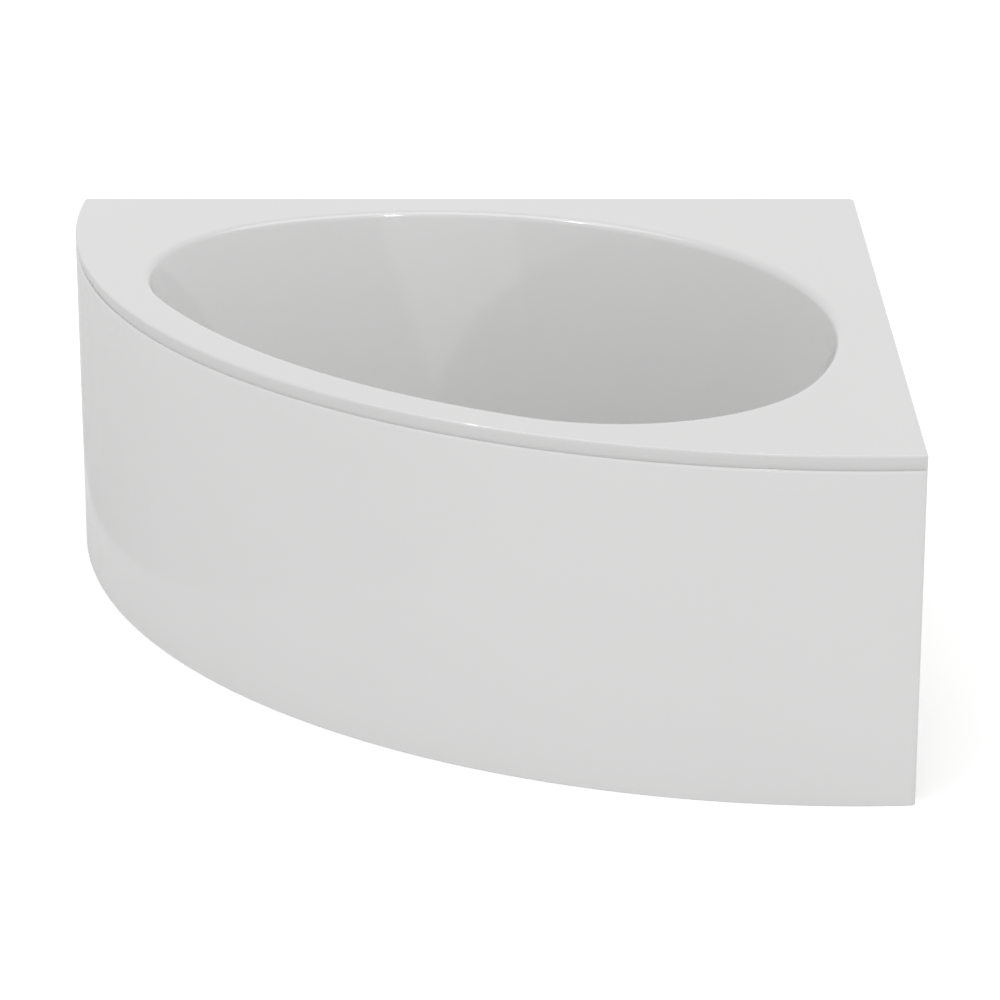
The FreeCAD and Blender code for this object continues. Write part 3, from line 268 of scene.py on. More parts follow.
def make_strand_group():
    """Chopped glass strands laid over each other under resin."""
    group, enter = new_group(
        "glass_strands",
        [("Resin", "NodeSocketColor", (0.7, 0.66, 0.5, 1)),
         ("Strand", "NodeSocketColor", (0.85, 0.83, 0.74, 1)), ("Strength", "NodeSocketFloat", 0.6)])
    vector = object_vector(group)
    total = None
    for turn in (0.2, 1.25, 2.3):
        mapping = group.nodes.new("ShaderNodeMapping")
        mapping.inputs["Rotation"].default_value = (turn, 0.7 * turn, turn)
        mapping.inputs["Scale"].default_value = (18, 260, 260)
        group.links.new(vector, mapping.inputs["Vector"])
        strand = stretch(group, noise(group, mapping.outputs["Vector"], 1.0, 1.0), 0.56, 0.66)
        total = strand if total is None else larger(group, total, strand)
    give_out(group, mix_colour(group, total, enter["Resin"], enter["Strand"]),
             to_range(group, total, 0.32, 0.6), bump(group, total, enter["Strength"], 0.0006))
    return group


def make_grain_group():
    """Sawn timber: long grain along the first axis of the scaled vector."""
    group, enter = new_group(
        "timber_grain",
        [("Early", "NodeSocketColor", (0.75, 0.6, 0.4, 1)),
         ("Late", "NodeSocketColor", (0.55, 0.38, 0.2, 1)),
         ("Stretch", "NodeSocketVector", (3, 90, 90)), ("Strength", "NodeSocketFloat", 0.3)])
    vector = object_vector(group)
    scaled = group.nodes.new("ShaderNodeVectorMath")
    scaled.operation = "MULTIPLY"
    group.links.new(vector, scaled.inputs[0])
    group.links.new(enter["Stretch"], scaled.inputs[1])
    rings = stretch(group, noise(group, scaled.outputs["Vector"], 1.0, 4.0, 0.6), 0.35, 0.65)
    give_out(group, mix_colour(group, rings, enter["Late"], enter["Early"]),
             to_range(group, rings, 0.75, 0.6), bump(group, rings, enter["Strength"], 0.0004))
    return group


def make_cell_group():
    """Flat cells of varied tone: wood chips, or the spangle of hot zinc."""
    group, enter = new_group(
        "tone_cells",
        [("Light", "NodeSocketColor", (0.8, 0.8, 0.8, 1)), ("Dark", "NodeSocketColor", (0.5, 0.5, 0.5, 1)),
         ("Scale", "NodeSocketFloat", 150.0), ("Strength", "NodeSocketFloat", 0.2),
         ("Rough Low", "NodeSocketFloat", 0.4), ("Rough High", "NodeSocketFloat", 0.6)])
    cells = group.nodes.new("ShaderNodeTexVoronoi")
    group.links.new(enter["Scale"], cells.inputs["Scale"])
    group.links.new(object_vector(group), cells.inputs["Vector"])
    split = group.nodes.new("ShaderNodeSeparateColor")
    group.links.new(cells.outputs["Color"], split.inputs["Color"])
    tone = split.outputs["Red"]
    give_out(group, mix_colour(group, tone, enter["Dark"], enter["Light"]),
             to_range(group, split.outputs["Green"], enter["Rough Low"], enter["Rough High"]),
             bump(group, tone, enter["Strength"], 0.0002))
    return group


GROUPS = {}
SOCKETS = {"metallic": "Metallic", "ior": "IOR"}


def material(name, group_name, settings, constants):
    """Principled material fed by one of the shared groups, with constants set on the shader itself."""
    made = bpy.data.materials.new(name)
    made.use_nodes = True
    tree = made.node_tree
    shader = tree.nodes["Principled BSDF"]
    group = tree.nodes.new("ShaderNodeGroup")
    group.node_tree = GROUPS[group_name]
    for label, value in settings.items():
        group.inputs[label].default_value = value
    tree.links.new(group.outputs["Color"], shader.inputs["Base Color"])
    tree.links.new(group.outputs["Roughness"], shader.inputs["Roughness"])
    tree.links.new(group.outputs["Normal"], shader.inputs["Normal"])
    for label, value in constants.items():
        shader.inputs[label].default_value = value
    return made


def opaque(colour, factor=1.0):
    return (colour[0] * factor, colour[1] * factor, colour[2] * factor, 1.0)


def toned(name, colour, spread, patch, skin, strength, rough, **constants):
    """Moulded, rubber or plated finish with a slow drift of tone; rough is a (low, high) pair."""
    labels = {SOCKETS[key]: value for key, value in constants.items()}
    return material(name, "tone_and_skin", {
        "Light": opaque(colour), "Dark": opaque(colour, 1 - spread), "Patch Scale": patch,
        "Skin Scale": skin, "Skin Strength": strength, "Rough Low": rough[0],
        "Rough High": rough[1]}, labels)


def celled(name, light, dark, scale, strength, rough, **constants):
    labels = {SOCKETS[key]: value for key, value in constants.items()}
    return material(name, "tone_cells", {
        "Light": opaque(light), "Dark": opaque(dark), "Scale": scale, "Strength": strength,
        "Rough Low": rough[0], "Rough High": rough[1]}, labels)


def grained(name, early, late, along):
    settings = {"Early": opaque(early), "Late": opaque(late), "Stretch": along}
    return material(name, "timber_grain", settings, {})


def make_materials(finishes):
    """Every finish of the tub, by its name."""
    GROUPS.update(tone_and_skin=make_tone_group(), glass_strands=make_strand_group(),
                  timber_grain=make_grain_group(), tone_cells=make_cell_group())
    metal = {"metallic": 1.0}
    pine = (0.78, 0.62, 0.42), (0.60, 0.42, 0.24)
    made = {
        "acrylic": toned("tub_acrylic", finishes.acrylic, 0.012, 2.5, 220.0, 0.02, (0.07, 0.10),
                         ior=1.49),
        # Painted shade: a lighter copy of the tub's acrylic, so that the tub's skirt above the panel shows
        # darker than the panel.
        "panel": toned("panel_acrylic", finishes.panel, 0.012, 2.0, 220.0, 0.02, (0.08, 0.12),
                       ior=1.49),
        "panel_back": toned("panel_back", (0.70, 0.70, 0.68), 0.05, 14.0, 160.0, 0.12, (0.42, 0.55)),
        "glass_fibre": material("glass_fibre_backing", "glass_strands", {}, {}),
        "chipboard": celled("chipboard_chips", (0.68, 0.55, 0.39), (0.42, 0.30, 0.18), 260.0, 0.5,
                            (0.7, 0.9)),
        "batten_x": grained("timber_along_back", *pine, (3.0, 110.0, 110.0)),
        "batten_y": grained("timber_along_side", *pine, (110.0, 3.0, 110.0)),
        "plywood": grained("plywood_layers", (0.76, 0.60, 0.41), (0.52, 0.36, 0.21), (9.0, 9.0, 420.0)),
        "galvanised": celled("galvanised_steel", (0.66, 0.67, 0.69), (0.50, 0.52, 0.55), 90.0, 0.05,
                             (0.32, 0.48), **metal),
        "zinc": toned("bright_zinc", (0.70, 0.70, 0.69), 0.12, 60.0, 900.0, 0.08, (0.22, 0.34), **metal),
        "spring_steel": toned("spring_steel", (0.48, 0.49, 0.51), 0.2, 40.0, 900.0, 0.08,
                              (0.25, 0.4), **metal),
        "chrome": toned("polished_chrome", (0.86, 0.86, 0.87), 0.02, 20.0, 1200.0, 0.01,
                        (0.03, 0.06), **metal),
        "brass": toned("turned_brass", (0.78, 0.60, 0.30), 0.12, 60.0, 900.0, 0.08, (0.2, 0.32), **metal),
        "rubber": toned("black_rubber", (0.035, 0.035, 0.036), 0.3, 60.0, 700.0, 0.2, (0.6, 0.75)),
        "white_plastic": toned("white_polypropylene", (0.78, 0.78, 0.77), 0.04, 20.0, 500.0, 0.1,
                               (0.35, 0.45)),
        "grey_plastic": toned("grey_polypropylene", (0.34, 0.35, 0.37), 0.1, 30.0, 500.0, 0.12,
                              (0.4, 0.5)),
        "hose": toned("pale_hose", (0.72, 0.72, 0.70), 0.06, 25.0, 500.0, 0.08, (0.38, 0.5)),
        "cable": toned("black_sheath", (0.04, 0.04, 0.04), 0.2, 60.0, 600.0, 0.1, (0.4, 0.5)),
        "nylon": toned("black_nylon", (0.045, 0.045, 0.047), 0.25, 50.0, 600.0, 0.15, (0.42, 0.55)),
        "ferrite": toned("black_ferrite", (0.07, 0.065, 0.06), 0.3, 90.0, 800.0, 0.25, (0.55, 0.7)),
    }
    MATERIALS.update(made)


MATERIALS = {}
CAD_FINISHES = {
    "chipboard": ("base_board", "corner_board"),
    "batten_x": ("rim_batten_back",),
    "batten_y": ("rim_batten_side",),
    "plywood": ("rim_batten_front",),
    "galvanised": ("cradle_rail_back", "cradle_rail_front", "cradle_spine_back", "cradle_spine_front",
                   "corner_post", "wall_brackets", "panel_arms", "keeper_plates"),
    "zinc": ("cradle_screws", "bracket_screws", "arm_screws", "clip_screws", "weld_nuts", "lock_nuts"),
    "spring_steel": ("panel_clips",),
    "ferrite": ("catch_magnets",),
    "rubber": ("waste_seal", "waste_gasket", "plug_ring", "overflow_gasket", "pipe_seal"),
    "chrome": ("waste_flange", "plug_cap", "overflow_plate", "overflow_knob"),
    "brass": ("plug_stem", "lift_lever"),
    "white_plastic": ("waste_body", "overflow_body", "trap_body"),
    "grey_plastic": ("hose_nuts", "trap_nut", "pipe_nut", "cleaning_cap"),
    "cable": ("control_cable",),
}
FEET = ("back_left", "back_right", "front_left", "front_right", "corner")
STEEL_NODES = CAD_FINISHES["galvanised"] + CAD_FINISHES["zinc"] + ("panel_clips", "catch_magnets")
TIMBER_NODES = ("base_board", "corner_board", "rim_batten_back", "rim_batten_side", "rim_batten_front")


def dress(*nodes):
    """Give CAD nodes their finish."""
    for finish, members in CAD_FINISHES.items():
        for node in members:
            if node in nodes:
                set_finish(frame["nodes"][node], finish)


def set_finish(piece, *finishes):
    piece.data.materials.clear()
    for finish in finishes:
        piece.data.materials.append(MATERIALS[finish])


# ================================================================ mesh helpers
def row_point(d, e, z):
    """Point of the diagonal frame, in the row frame."""
    return Vector((HALF - ROOT_HALF * (d - e), HALF - ROOT_HALF * (d + e), z))


def wall_point(u, v, z):
    return Vector((HALF - u, HALF - v, z))


def quarter_turn(steps):
    """Angles from 0 to 90 degrees."""
    return [math.radians(90 * i / steps) for i in range(steps + 1)]


def mesh_piece(name, skin, body):
    """Object from a skin, with smooth shading up to the crease angle, that rides on a body."""
    mesh = skin.mesh(name)
    mesh.polygons.foreach_set("material_index", skin.indices)
    tidy = bmesh.new()
    tidy.from_mesh(mesh)
    bmesh.ops.remove_doubles(tidy, verts=tidy.verts, dist=SAME_POINT)
    bmesh.ops.recalc_face_normals(tidy, faces=tidy.faces)
    tidy.to_mesh(mesh)
    tidy.free()
    mesh.shade_smooth()
    mesh.set_sharp_from_angle(angle=CREASE)
    piece = bpy.data.objects.new(name, mesh)
    bpy.context.scene.collection.objects.link(piece)
    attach(piece, body)
    return piece


class Skin:
    """Points and faces of a mesh, gathered ring by ring."""

    def __init__(self):
        self.points, self.faces, self.indices = [], [], []

    def mesh(self, name):
        mesh = bpy.data.meshes.new(name)
        mesh.from_pydata([tuple(point) for point in self.points], [], self.faces)
        return mesh

    def ring(self, points):
        start = len(self.points)
        self.points += points
        return list(range(start, start + len(points)))

    def band(self, first, second, index, closed=True):
        """Quads between two rings of the same count."""
        count = len(first)
        for i in range(count if closed else count - 1):
            j = (i + 1) % count
            self.faces.append((first[i], first[j], second[j], second[i]))
            self.indices.append(index)

    def bands(self, rings, index, closed=True):
        for first, second in zip(rings, rings[1:]):
            self.band(first, second, index, closed)

    def fill(self, outer, inner, index):
        """Flat face between an outer ring and, if there is one, an inner ring."""
        ids = outer + (inner or [])
        flat = [self.points[i].xy for i in ids]
        loops = [(0, len(outer))] + ([(len(outer), len(ids))] if inner else [])
        edges = []
        for start, end in loops:
            edges += [(i, i + 1 if i + 1 < end else start) for i in range(start, end)]
        _, _, triangles, origins, _, _ = delaunay_2d_cdt(flat, edges, [], INSIDE_ONLY, SAME_IN_PLANE)
        for triangle in triangles:
            corners = [origins[i][0] for i in triangle]
            if inner and min(corners) >= len(outer):
                continue
            self.faces.append(tuple(ids[i] for i in corners))
            self.indices.append(index)


# ================================================================ the tub
def deck_outline(sizes, inset, z, lean=0.0, arc_steps=160, side_steps=24, turn_steps=10):
    """Closed ring round the deck's plan, drawn in by inset, and by lean more on the round front."""
    radius, centre = sizes.front_radius, sizes.front_inset
    end, corner = sizes.end_radius, sizes.corner_radius
    end_u = centre + math.sqrt((radius - end) ** 2 - (end - centre) ** 2)
    start = math.atan2(end - centre, end_u - centre)
    small = max(end - inset, 0.0)
    front = radius - inset - lean
    points = []
    for i in range(turn_steps):
        turn = math.radians(225 + 45 * i / turn_steps)
        reach = corner - inset
        points.append((corner + reach * math.cos(turn), corner + reach * math.sin(turn)))
    points += [(corner + (end_u - corner) * i / side_steps, inset) for i in range(side_steps)]
    for i in range(turn_steps):
        turn = -math.pi / 2 + (start + math.pi / 2) * i / turn_steps
        reach = small - lean * i / turn_steps
        points.append((end_u + reach * math.cos(turn), end + small * math.sin(turn)))
    middle = math.pi / 4
    for i in range(arc_steps):
        turn = start + (middle - start) * i / arc_steps
        points.append((centre + front * math.cos(turn), centre + front * math.sin(turn)))
    tip = centre + front * math.cos(middle)
    mirrored = [(v, u) for u, v in points[:0:-1]]
    return [wall_point(u, v, z) for u, v in points + [(tip, tip)] + mirrored]


def crossing_radius(reach, half, end_radius):
    """Radius of the arc across the diagonal that touches both end arcs."""
    return (reach ** 2 + half ** 2 - end_radius ** 2) / (2 * (reach - end_radius))


class Outline:
    """Egg-shaped outline of four touching arcs, found by the heading of its outward normal."""

    def __init__(self, back, front, half_length, end_d, end_radius):
        self.end_d, self.end_radius = end_d, end_radius
        self.end_e = half_length - end_radius
        self.back_radius = crossing_radius(end_d - back, self.end_e, end_radius)
        self.front_radius = crossing_radius(front - end_d, self.end_e, end_radius)
        self.back_centre = back + self.back_radius
        self.front_centre = front - self.front_radius
        self.front_turn = math.atan2(self.end_e, end_d - self.front_centre)
        self.back_turn = math.atan2(self.end_e, end_d - self.back_centre)

    def point(self, heading):
        side = 1 if heading >= 0 else -1
        turn = abs(heading)
        if turn <= self.front_turn:
            centre, offset, radius = self.front_centre, 0.0, self.front_radius
        elif turn <= self.back_turn:
            centre, offset, radius = self.end_d, self.end_e, self.end_radius
        else:
            centre, offset, radius = self.back_centre, 0.0, self.back_radius
        return Vector((centre + radius * math.cos(turn), side * (offset + radius * math.sin(turn)), 0))


def curve_point(corners, share):
    """Point and direction on the parabola that rounds off a corner."""
    start, corner, end = corners
    point = start * (1 - share) ** 2 + corner * (2 * share * (1 - share)) + end * share ** 2
    direction = (corner - start) * (1 - share) + (end - corner) * share
    return point, direction.normalized()


def rounded_corner(corner, normal, fall, radius, steps):
    """Points and directions along the arc that leads from the deck over into the wall."""
    full = math.acos(-normal.dot(fall))
    start = corner + normal * radius * math.tan(full / 2)
    line = []
    for i in range(steps + 1):
        turn = full * i / steps
        point = start - normal * radius * math.sin(turn) - UP * radius * (1 - math.cos(turn))
        line.append((point, -normal * math.cos(turn) - UP * math.sin(turn)))
    return line


class Basin:
    """Inside of the basin, as rings of points at any distance behind its skin."""

    def __init__(self, sizes):
        centre_d = sizes.front_inset * math.sqrt(2)
        front = centre_d + sizes.front_radius - sizes.front_rim
        end_d = front - sizes.end_setback
        self.sizes = sizes
        self.top = Outline(sizes.back_d, front, sizes.half_length, end_d, sizes.rim_end_radius)
        self.foot = Outline(sizes.back_d + sizes.back_draft, front - sizes.front_draft,
                            sizes.half_length - sizes.end_draft, end_d + sizes.end_shift,
                            sizes.floor_end_radius)

    def wall(self, heading, offset, roll_steps=12, wall_steps=14, blend_steps=14):
        """Points down the wall at one heading, in the row frame."""
        sizes = self.sizes
        normal = Vector((math.cos(heading), math.sin(heading), 0))
        top = self.top.point(heading) + UP * DECK_Z
        foot = self.foot.point(heading) + UP * sizes.floor_z
        fall = (foot - top).normalized()
        blend = (foot - fall * sizes.floor_roll, foot, foot - normal * sizes.floor_roll)
        line = rounded_corner(top, normal, fall, sizes.rim_radius, roll_steps)
        start = line[-1][0]
        line += [(start.lerp(blend[0], i / wall_steps), fall) for i in range(1, wall_steps)]
        line += [curve_point(blend, i / blend_steps) for i in range(blend_steps + 1)]
        points = []
        for point, tangent in line:
            outward = (normal * -tangent.z + UP * tangent.dot(normal)).normalized()
            placed = point + outward * offset
            points.append(row_point(placed.x, placed.y, placed.z))
        return points

    def rings(self, offset, count=360):
        """Rings of points from the rim down to the flat of the floor."""
        lines = [self.wall(math.pi - 2 * math.pi * (i + 0.5) / count, offset) for i in range(count)]
        return [[line[level] for line in lines] for level in range(len(lines[0]))]


def drawn_in(ring, distance):
    """The same flat ring moved towards its middle."""
    middle = sum(ring, Vector()) / len(ring)
    return [point + (middle - point).normalized() * distance for point in ring]


def bath_shell(sizes):
    """Deck, lip and basin as one closed mesh: acrylic on the side that shows, glass fibre behind."""
    skin = Skin()
    edge, thick, draft = sizes.edge_radius, sizes.thickness, sizes.lip_draft
    chamfer = thick / 20
    inner = [(thick, DECK_Z - thick, 0.0), (thick, LIP_Z + chamfer, draft), (thick - chamfer, LIP_Z, draft)]
    inner_rings = [skin.ring(deck_outline(sizes, *level)) for level in inner]
    outer = [(chamfer, LIP_Z, draft), (0.0, LIP_Z + chamfer, draft)]
    outer += [(edge * (1 - math.cos(turn)), DECK_Z - edge + edge * math.sin(turn), 0.0)
              for turn in quarter_turn(8)]
    outer.append((sizes.end_radius, DECK_Z, 0.0))
    outer_rings = [skin.ring(deck_outline(sizes, *level)) for level in outer]
    skin.bands(inner_rings, 1)
    skin.band(inner_rings[-1], outer_rings[0], 0)
    skin.bands(outer_rings, 0)
    basin = Basin(sizes)
    for offset, index, deck_ring in ((0.0, 0, outer_rings[-1]), (thick, 1, inner_rings[0])):
        rings = basin.rings(offset)
        flat = [point.copy() for point in rings[0]]
        middle = sum(flat, Vector()) / len(flat)
        apron = skin.ring([point + (point - middle).normalized() * edge for point in flat])
        levels = [skin.ring(ring) for ring in rings]
        floor = skin.ring(drawn_in(rings[-1], edge))
        skin.fill(deck_ring, apron, index)
        skin.bands([apron] + levels + [floor], index)
        skin.fill(floor, None, index)
    return mesh_piece("tub", skin, "root")


FLOOR_DRILL = 0.06
WALL_DRILL = 0.04


def drill(piece, centre, axis, radius, depth, segments=64):
    """Round hole through a piece."""
    cutter_mesh = bpy.data.meshes.new("cutter")
    cutter = bpy.data.objects.new("cutter", cutter_mesh)
    shape = bmesh.new()
    bmesh.ops.create_cone(shape, cap_ends=True, segments=segments, radius1=radius, radius2=radius,
                          depth=depth)
    shape.to_mesh(cutter_mesh)
    shape.free()
    cutter.matrix_world = Matrix.Translation(centre) @ axis.to_track_quat("Z", "Y").to_matrix().to_4x4()
    bpy.context.scene.collection.objects.link(cutter)
    cut = piece.modifiers.new("hole", "BOOLEAN")
    cut.object = cutter
    cut.solver = "EXACT"
    bpy.context.view_layer.update()
    graph = bpy.context.evaluated_depsgraph_get()
    mesh = bpy.data.meshes.new_from_object(piece.evaluated_get(graph))
    piece.modifiers.clear()
    piece.data = mesh
    bpy.data.objects.remove(cutter)


def middle_of(node):
    low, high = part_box(node)
    return (low + high) / 2


class BATH_OT_shell(bpy.types.Operator):
    """Tub with its deck, rounded rim and basin"""
    bl_idname = "bath.shell"
    bl_label = "Tub"

    def execute(self, context):
        sizes = context.scene.tub_sizes
        piece = bath_shell(sizes)
        set_finish(piece, "acrylic", "glass_fibre")
        drill(piece, middle_of("waste_seal"), UP, sizes.drain_radius, FLOOR_DRILL)
        drill(piece, middle_of("overflow_gasket"), overflow_axis(), sizes.drain_radius, WALL_DRILL)
        piece.data.set_sharp_from_angle(angle=CREASE)
        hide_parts("bath_shell")
        return {"FINISHED"}


def overflow_axis():
    """Axis of the overflow knob, from the frame's own joint."""
    joint = next(item for item in frame["joints"] if item["name"] == "knob_turn")
    return Vector(joint["axis"]).normalized()


# ================================================================ the front panel
def end_angle(sizes, radius, off_wall):
    """Angle, about the centre of the front, where a circle meets the plane off_wall from the side wall."""
    return math.acos((off_wall - sizes.front_inset) / radius)


def panel_ring(sizes, radius, z, stations, off_wall, end_round=0.0):
    """Arc of points from one wall to the other; end_round draws the ends in as the corner turns."""
    full = sizes.front_radius
    points = []
    for station in stations:
        if isinstance(station, tuple):
            side, turn = station
            along = off_wall + end_round * (1 - math.cos(turn))
            reach = min(radius, full - end_round * (1 - math.sin(turn)))
            angle = end_angle(sizes, reach, along)
            angle = angle if side > 0 else math.pi / 2 - angle
        else:
            last = end_angle(sizes, full, off_wall + end_round)
            reach, angle = radius, math.pi / 2 - last + (2 * last - math.pi / 2) * station
        points.append(wall_point(sizes.front_inset + reach * math.cos(angle),
                                 sizes.front_inset + reach * math.sin(angle), z))
    return points


def front_panel(tub, panel, steps=220, levels=8):
    """Curved tray: skin, returned edges above and below, and a return against each wall."""
    skin = Skin()
    radius, thick = tub.front_radius, panel.thickness
    inner = radius - panel.flange
    middle = [i / steps for i in range(1, steps)]
    turns = quarter_turn(6)
    ends = [(-1, turn) for turn in turns], [(1, turn) for turn in reversed(turns)]
    stations = ends[0] + middle + ends[1]
    over = panel.top_radius
    top = [(radius - over * (1 - math.sin(turn)), PANEL_Z - over * (1 - math.cos(turn))) for turn in turns]
    profile = [(inner, PANEL_Z), ((inner + radius) / 2, PANEL_Z)] + top
    profile += [(radius, PANEL_Z * (1 - i / levels)) for i in range(1, levels)]
    profile += [(radius, thick / 4), (radius - thick / 4, 0.0), (inner, 0.0)]
    outside = [skin.ring(panel_ring(tub, r, z, stations, 0.0, panel.end_radius)) for r, z in profile]
    skin.bands(outside, 0, closed=False)
    pocket_profile = [(inner, thick), (radius - thick, thick), (radius - thick, PANEL_Z - thick),
                      (inner, PANEL_Z - thick)]
    pocket_stations = [(-1, turns[0])] + middle + [(1, turns[0])]
    pocket = [skin.ring(panel_ring(tub, r, z, pocket_stations, thick)) for r, z in pocket_profile]
    skin.bands(pocket, 1, closed=False)
    close_tray(skin, outside, pocket, len(turns))
    return mesh_piece("curved_panel", skin, "front_panel")


def close_tray(skin, outside, pocket, turn_count):
    """Faces that join the outside of the tray to its pocket, and close its ends."""
    low_out, low_in = outside[-1], pocket[0]
    high_out, high_in = outside[0], pocket[-1]
    keep = list(range(turn_count - 1, len(low_out) - turn_count + 1))
    for out, inside in ((low_out, low_in), (high_out, high_in)):
        skin.band([out[i] for i in keep], inside, 0, closed=False)
    for end, pocket_end, order in ((0, 0, range(turn_count)),
                                   (-1, -1, range(-1, -turn_count - 1, -1))):
        skin.faces.append(tuple(ring[end] for ring in outside))
        skin.indices.append(0)
        skin.faces.append(tuple(ring[pocket_end] for ring in pocket))
        skin.indices.append(1)
        strip = [low_out[i] for i in order] + [low_in[pocket_end], high_in[pocket_end]]
        strip += [high_out[i] for i in reversed(list(order))]
        skin.faces.append(tuple(strip))
        skin.indices.append(1)


class BATH_OT_panel(bpy.types.Operator):
    """Curved front panel"""
    bl_idname = "bath.panel"
    bl_label = "Front panel"

    def execute(self, context):
        piece = front_panel(context.scene.tub_sizes, context.scene.panel_sizes)
        set_finish(piece, "panel", "panel_back")
        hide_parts("front_panel")
        return {"FINISHED"}


# ================================================================ what stands under the tub
class BATH_OT_timber(bpy.types.Operator):
    """Boards and battens under the tub"""
    bl_idname = "bath.timber"
    bl_label = "Timber"

    def execute(self, context):
        dress(*TIMBER_NODES)
        return {"FINISHED"}


class BATH_OT_steel(bpy.types.Operator):
    """Steel cradle, brackets, arms, clips and screws"""
    bl_idname = "bath.steel"
    bl_label = "Steelwork"

    def execute(self, context):
        dress(*STEEL_NODES)
        return {"FINISHED"}


class BATH_OT_feet(bpy.types.Operator):
    """Screw feet"""
    bl_idname = "bath.feet"
    bl_label = "Feet"

    def execute(self, context):
        for foot in FEET:
            set_finish(frame["nodes"]["foot_stud_" + foot], "zinc")
            set_finish(frame["nodes"]["foot_pad_" + foot], "nylon")
        return {"FINISHED"}


class BATH_OT_plumbing(bpy.types.Operator):
    """Waste, plug, overflow, hose and trap"""
    bl_idname = "bath.plumbing"
    bl_label = "Plumbing"

    def execute(self, context):
        for finish in ("rubber", "chrome", "brass", "white_plastic", "grey_plastic", "cable"):
            dress(*CAD_FINISHES[finish])
        set_finish(frame["nodes"]["overflow_hose"], "hose")
        return {"FINISHED"}


# ================================================================ stage
CAMERA_AT = (0.05735, -6.5309, 2.6486)
CAMERA_PITCH = math.radians(90 - 20.174)
CAMERA_LENS = 147.84
CAMERA_SENSOR = 36
CAMERA_REACH = 100
WORLD_LEVEL = 0.92
FLOOR_SIZE = 60
FLOOR_GLOW = 0.38
CARD_GREY = (0.72, 0.72, 0.72)
CARD_ALONG = (-1.2, 2.4)
CARD_OFF = 0.1
CARD_FOOT = 0.002
CARD_REACH = 0.8
# Suns: the way to the light, its strength, and how wide it is in degrees.
SUNS = {
    "top_light": ((-0.15, -0.35, 1.0), 0.235, 60),
    "front_light": ((-0.1, -1.0, 0.26), 0.22, 40),
}
# Lamps that only gloss mirrors: place, size and watts.
GLOSS_LIGHTS = {
    "ceiling": ((0, 0.8, 4.4), (5.0, 2.4), 85),
    "front_lamp": ((0.3, -0.9, 3.65), (0.12, 0.12), 10),
    "left_lamp": ((-1.3, 0.1, 3.7), (0.12, 0.12), 10),
}


def gloss_light(name, place, size, watts):
    """Lamp that only gloss mirrors, turned to the deck."""
    lamp = bpy.data.lights.new(name, "AREA")
    lamp.shape = "RECTANGLE"
    lamp.size, lamp.size_y = size
    lamp.energy = watts
    thing = bpy.data.objects.new(name, lamp)
    thing.location = place
    thing.rotation_euler = (UP * DECK_Z - Vector(place)).to_track_quat("-Z", "Y").to_euler()
    thing.visible_camera = False
    thing.visible_diffuse = False
    bpy.context.scene.collection.objects.link(thing)


def soft_sun(name, towards, strength, angle):
    lamp = bpy.data.lights.new(name, "SUN")
    lamp.energy = strength
    lamp.angle = math.radians(angle)
    thing = bpy.data.objects.new(name, lamp)
    thing.rotation_euler = Vector(towards).to_track_quat("Z", "Y").to_euler()
    bpy.context.scene.collection.objects.link(thing)


def white_world():
    """Even light from all round, and plain white wherever the background shows or is mirrored."""
    world = bpy.data.worlds.new("studio")
    bpy.context.scene.world = world
    world.use_nodes = True
    tree = world.node_tree
    background = tree.nodes["Background"]
    background.inputs["Color"].default_value = (1, 1, 1, 1)
    path = tree.nodes.new("ShaderNodeLightPath")
    seen = path.outputs["Is Camera Ray"]
    for kind in ("Is Glossy Ray", "Is Transmission Ray"):
        seen = larger(tree, seen, path.outputs[kind])
    tree.links.new(to_range(tree, seen, WORLD_LEVEL, 1.0), background.inputs["Strength"])


def matt_paint(name, colour):
    """Plain matt material for the stage."""
    paint = bpy.data.materials.new(name)
    paint.use_nodes = True
    shader = paint.node_tree.nodes["Principled BSDF"]
    shader.inputs["Base Color"].default_value = opaque(colour)
    shader.inputs["Roughness"].default_value = 0.9
    return paint


def studio_floor(colour):
    """Floor that keeps the shadow, and glows to the camera so that it shows white."""
    bpy.ops.mesh.primitive_plane_add(size=FLOOR_SIZE)
    floor = bpy.context.object
    floor.name = "studio_floor"
    paint = matt_paint("studio_floor", colour)
    tree = paint.node_tree
    shader = tree.nodes["Principled BSDF"]
    shader.inputs["Specular IOR Level"].default_value = 0.1
    shader.inputs["Emission Color"].default_value = (1, 1, 1, 1)
    path = tree.nodes.new("ShaderNodeLightPath")
    glow = to_range(tree, path.outputs["Is Camera Ray"], 0.0, FLOOR_GLOW)
    tree.links.new(glow, shader.inputs["Emission Strength"])
    floor.data.materials.append(paint)


def side_card():
    """Grey card, seen only as what gloss mirrors, that draws the left edge of the panel."""
    skin = Skin()
    foot = [Vector((-HALF - CARD_OFF, along, CARD_FOOT)) for along in CARD_ALONG]
    head = [point + Vector((-CARD_REACH, 0, CARD_REACH)) for point in foot]
    skin.band(skin.ring(foot), skin.ring(head), 0, closed=False)
    mesh = skin.mesh("side_card")
    mesh.materials.append(matt_paint("side_card", CARD_GREY))
    card = bpy.data.objects.new("side_card", mesh)
    card.visible_camera = False
    card.visible_diffuse = False
    card.visible_shadow = False
    bpy.context.scene.collection.objects.link(card)


def photo_camera():
    """Camera at the photograph's viewing angle."""
    view = bpy.data.cameras.new("camera")
    view.sensor_width = CAMERA_SENSOR
    view.lens = CAMERA_LENS
    view.clip_end = CAMERA_REACH
    camera = bpy.data.objects.new("camera", view)
    camera.location = CAMERA_AT
    camera.rotation_euler = (CAMERA_PITCH, 0, 0)
    bpy.context.scene.collection.objects.link(camera)
    bpy.context.scene.camera = camera


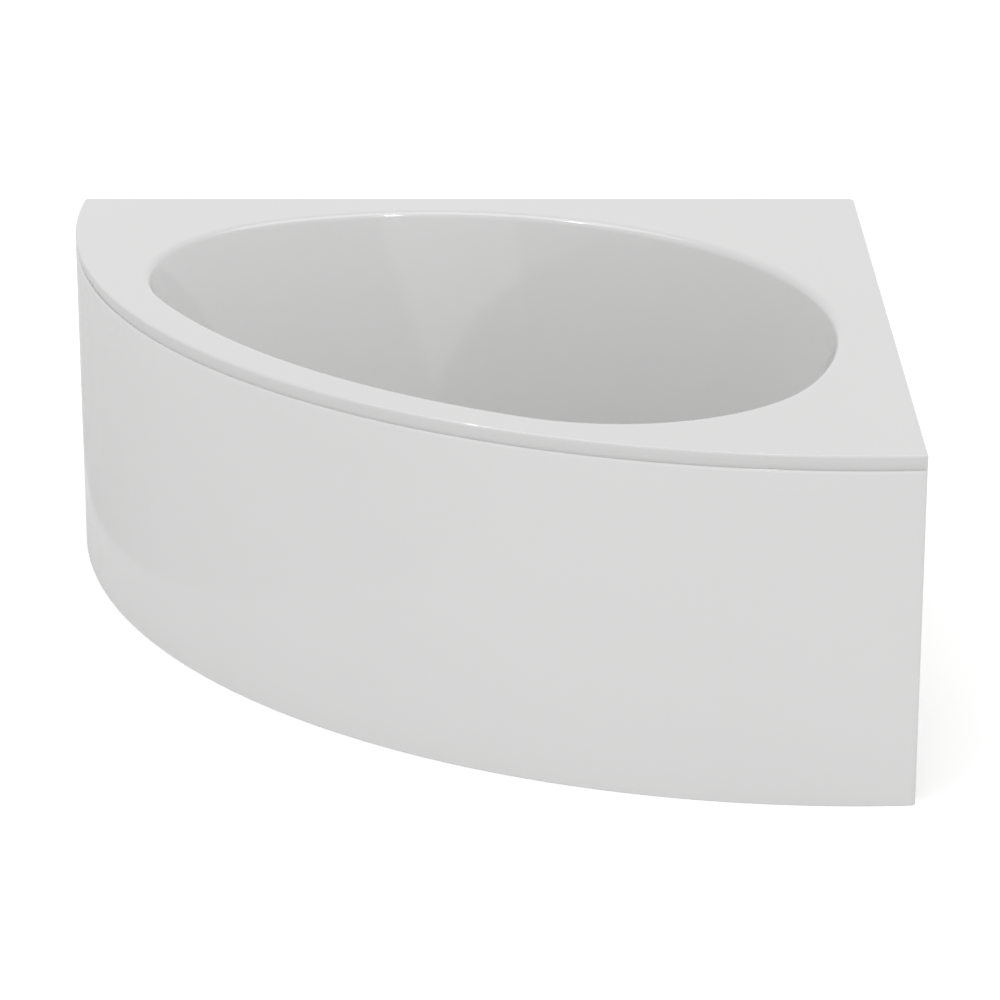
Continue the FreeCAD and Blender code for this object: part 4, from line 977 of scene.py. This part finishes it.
class BATH_OT_stage(bpy.types.Operator):
    """Floor, light and camera"""
    bl_idname = "bath.stage"
    bl_label = "Stage"

    def execute(self, context):
        scene = context.scene
        scene.view_settings.view_transform = "Standard"
        white_world()
        studio_floor(scene.finishes.floor)
        side_card()
        for name, settings in SUNS.items():
            soft_sun(name, *settings)
        for name, settings in GLOSS_LIGHTS.items():
            gloss_light(name, *settings)
        photo_camera()
        return {"FINISHED"}


# ================================================================ panel and registration
OPERATORS = (BATH_OT_shell, BATH_OT_panel, BATH_OT_timber, BATH_OT_steel, BATH_OT_feet, BATH_OT_plumbing,
             BATH_OT_stage)


class BATH_PT_parts(bpy.types.Panel):
    """Lists the pieces that can be finished"""
    bl_label = "Corner Bathtub"
    bl_idname = "BATH_PT_parts"
    bl_space_type = "VIEW_3D"
    bl_region_type = "UI"
    bl_category = "Bathtub"

    def draw(self, context):
        for operator in OPERATORS:
            self.layout.operator(operator.bl_idname)
        for group in (context.scene.tub_sizes, context.scene.panel_sizes, context.scene.finishes):
            for name in group.bl_rna.properties.keys():
                if name not in ("rna_type", "name"):
                    self.layout.prop(group, name)


CLASSES = (TubSizes, PanelSizes, Finishes) + OPERATORS + (BATH_PT_parts,)


def register():
    for item in CLASSES:
        bpy.utils.register_class(item)
    bpy.types.Scene.tub_sizes = bpy.props.PointerProperty(type=TubSizes)
    bpy.types.Scene.panel_sizes = bpy.props.PointerProperty(type=PanelSizes)
    bpy.types.Scene.finishes = bpy.props.PointerProperty(type=Finishes)


def unregister():
    del bpy.types.Scene.tub_sizes
    del bpy.types.Scene.panel_sizes
    del bpy.types.Scene.finishes
    for item in reversed(CLASSES):
        bpy.utils.unregister_class(item)


def main():
    register()
    make_materials(bpy.context.scene.finishes)
    bpy.ops.bath.shell()
    bpy.ops.bath.panel()
    bpy.ops.bath.timber()
    bpy.ops.bath.steel()
    bpy.ops.bath.feet()
    bpy.ops.bath.plumbing()
    bpy.ops.bath.stage()


if __name__ == "__main__":
    main()
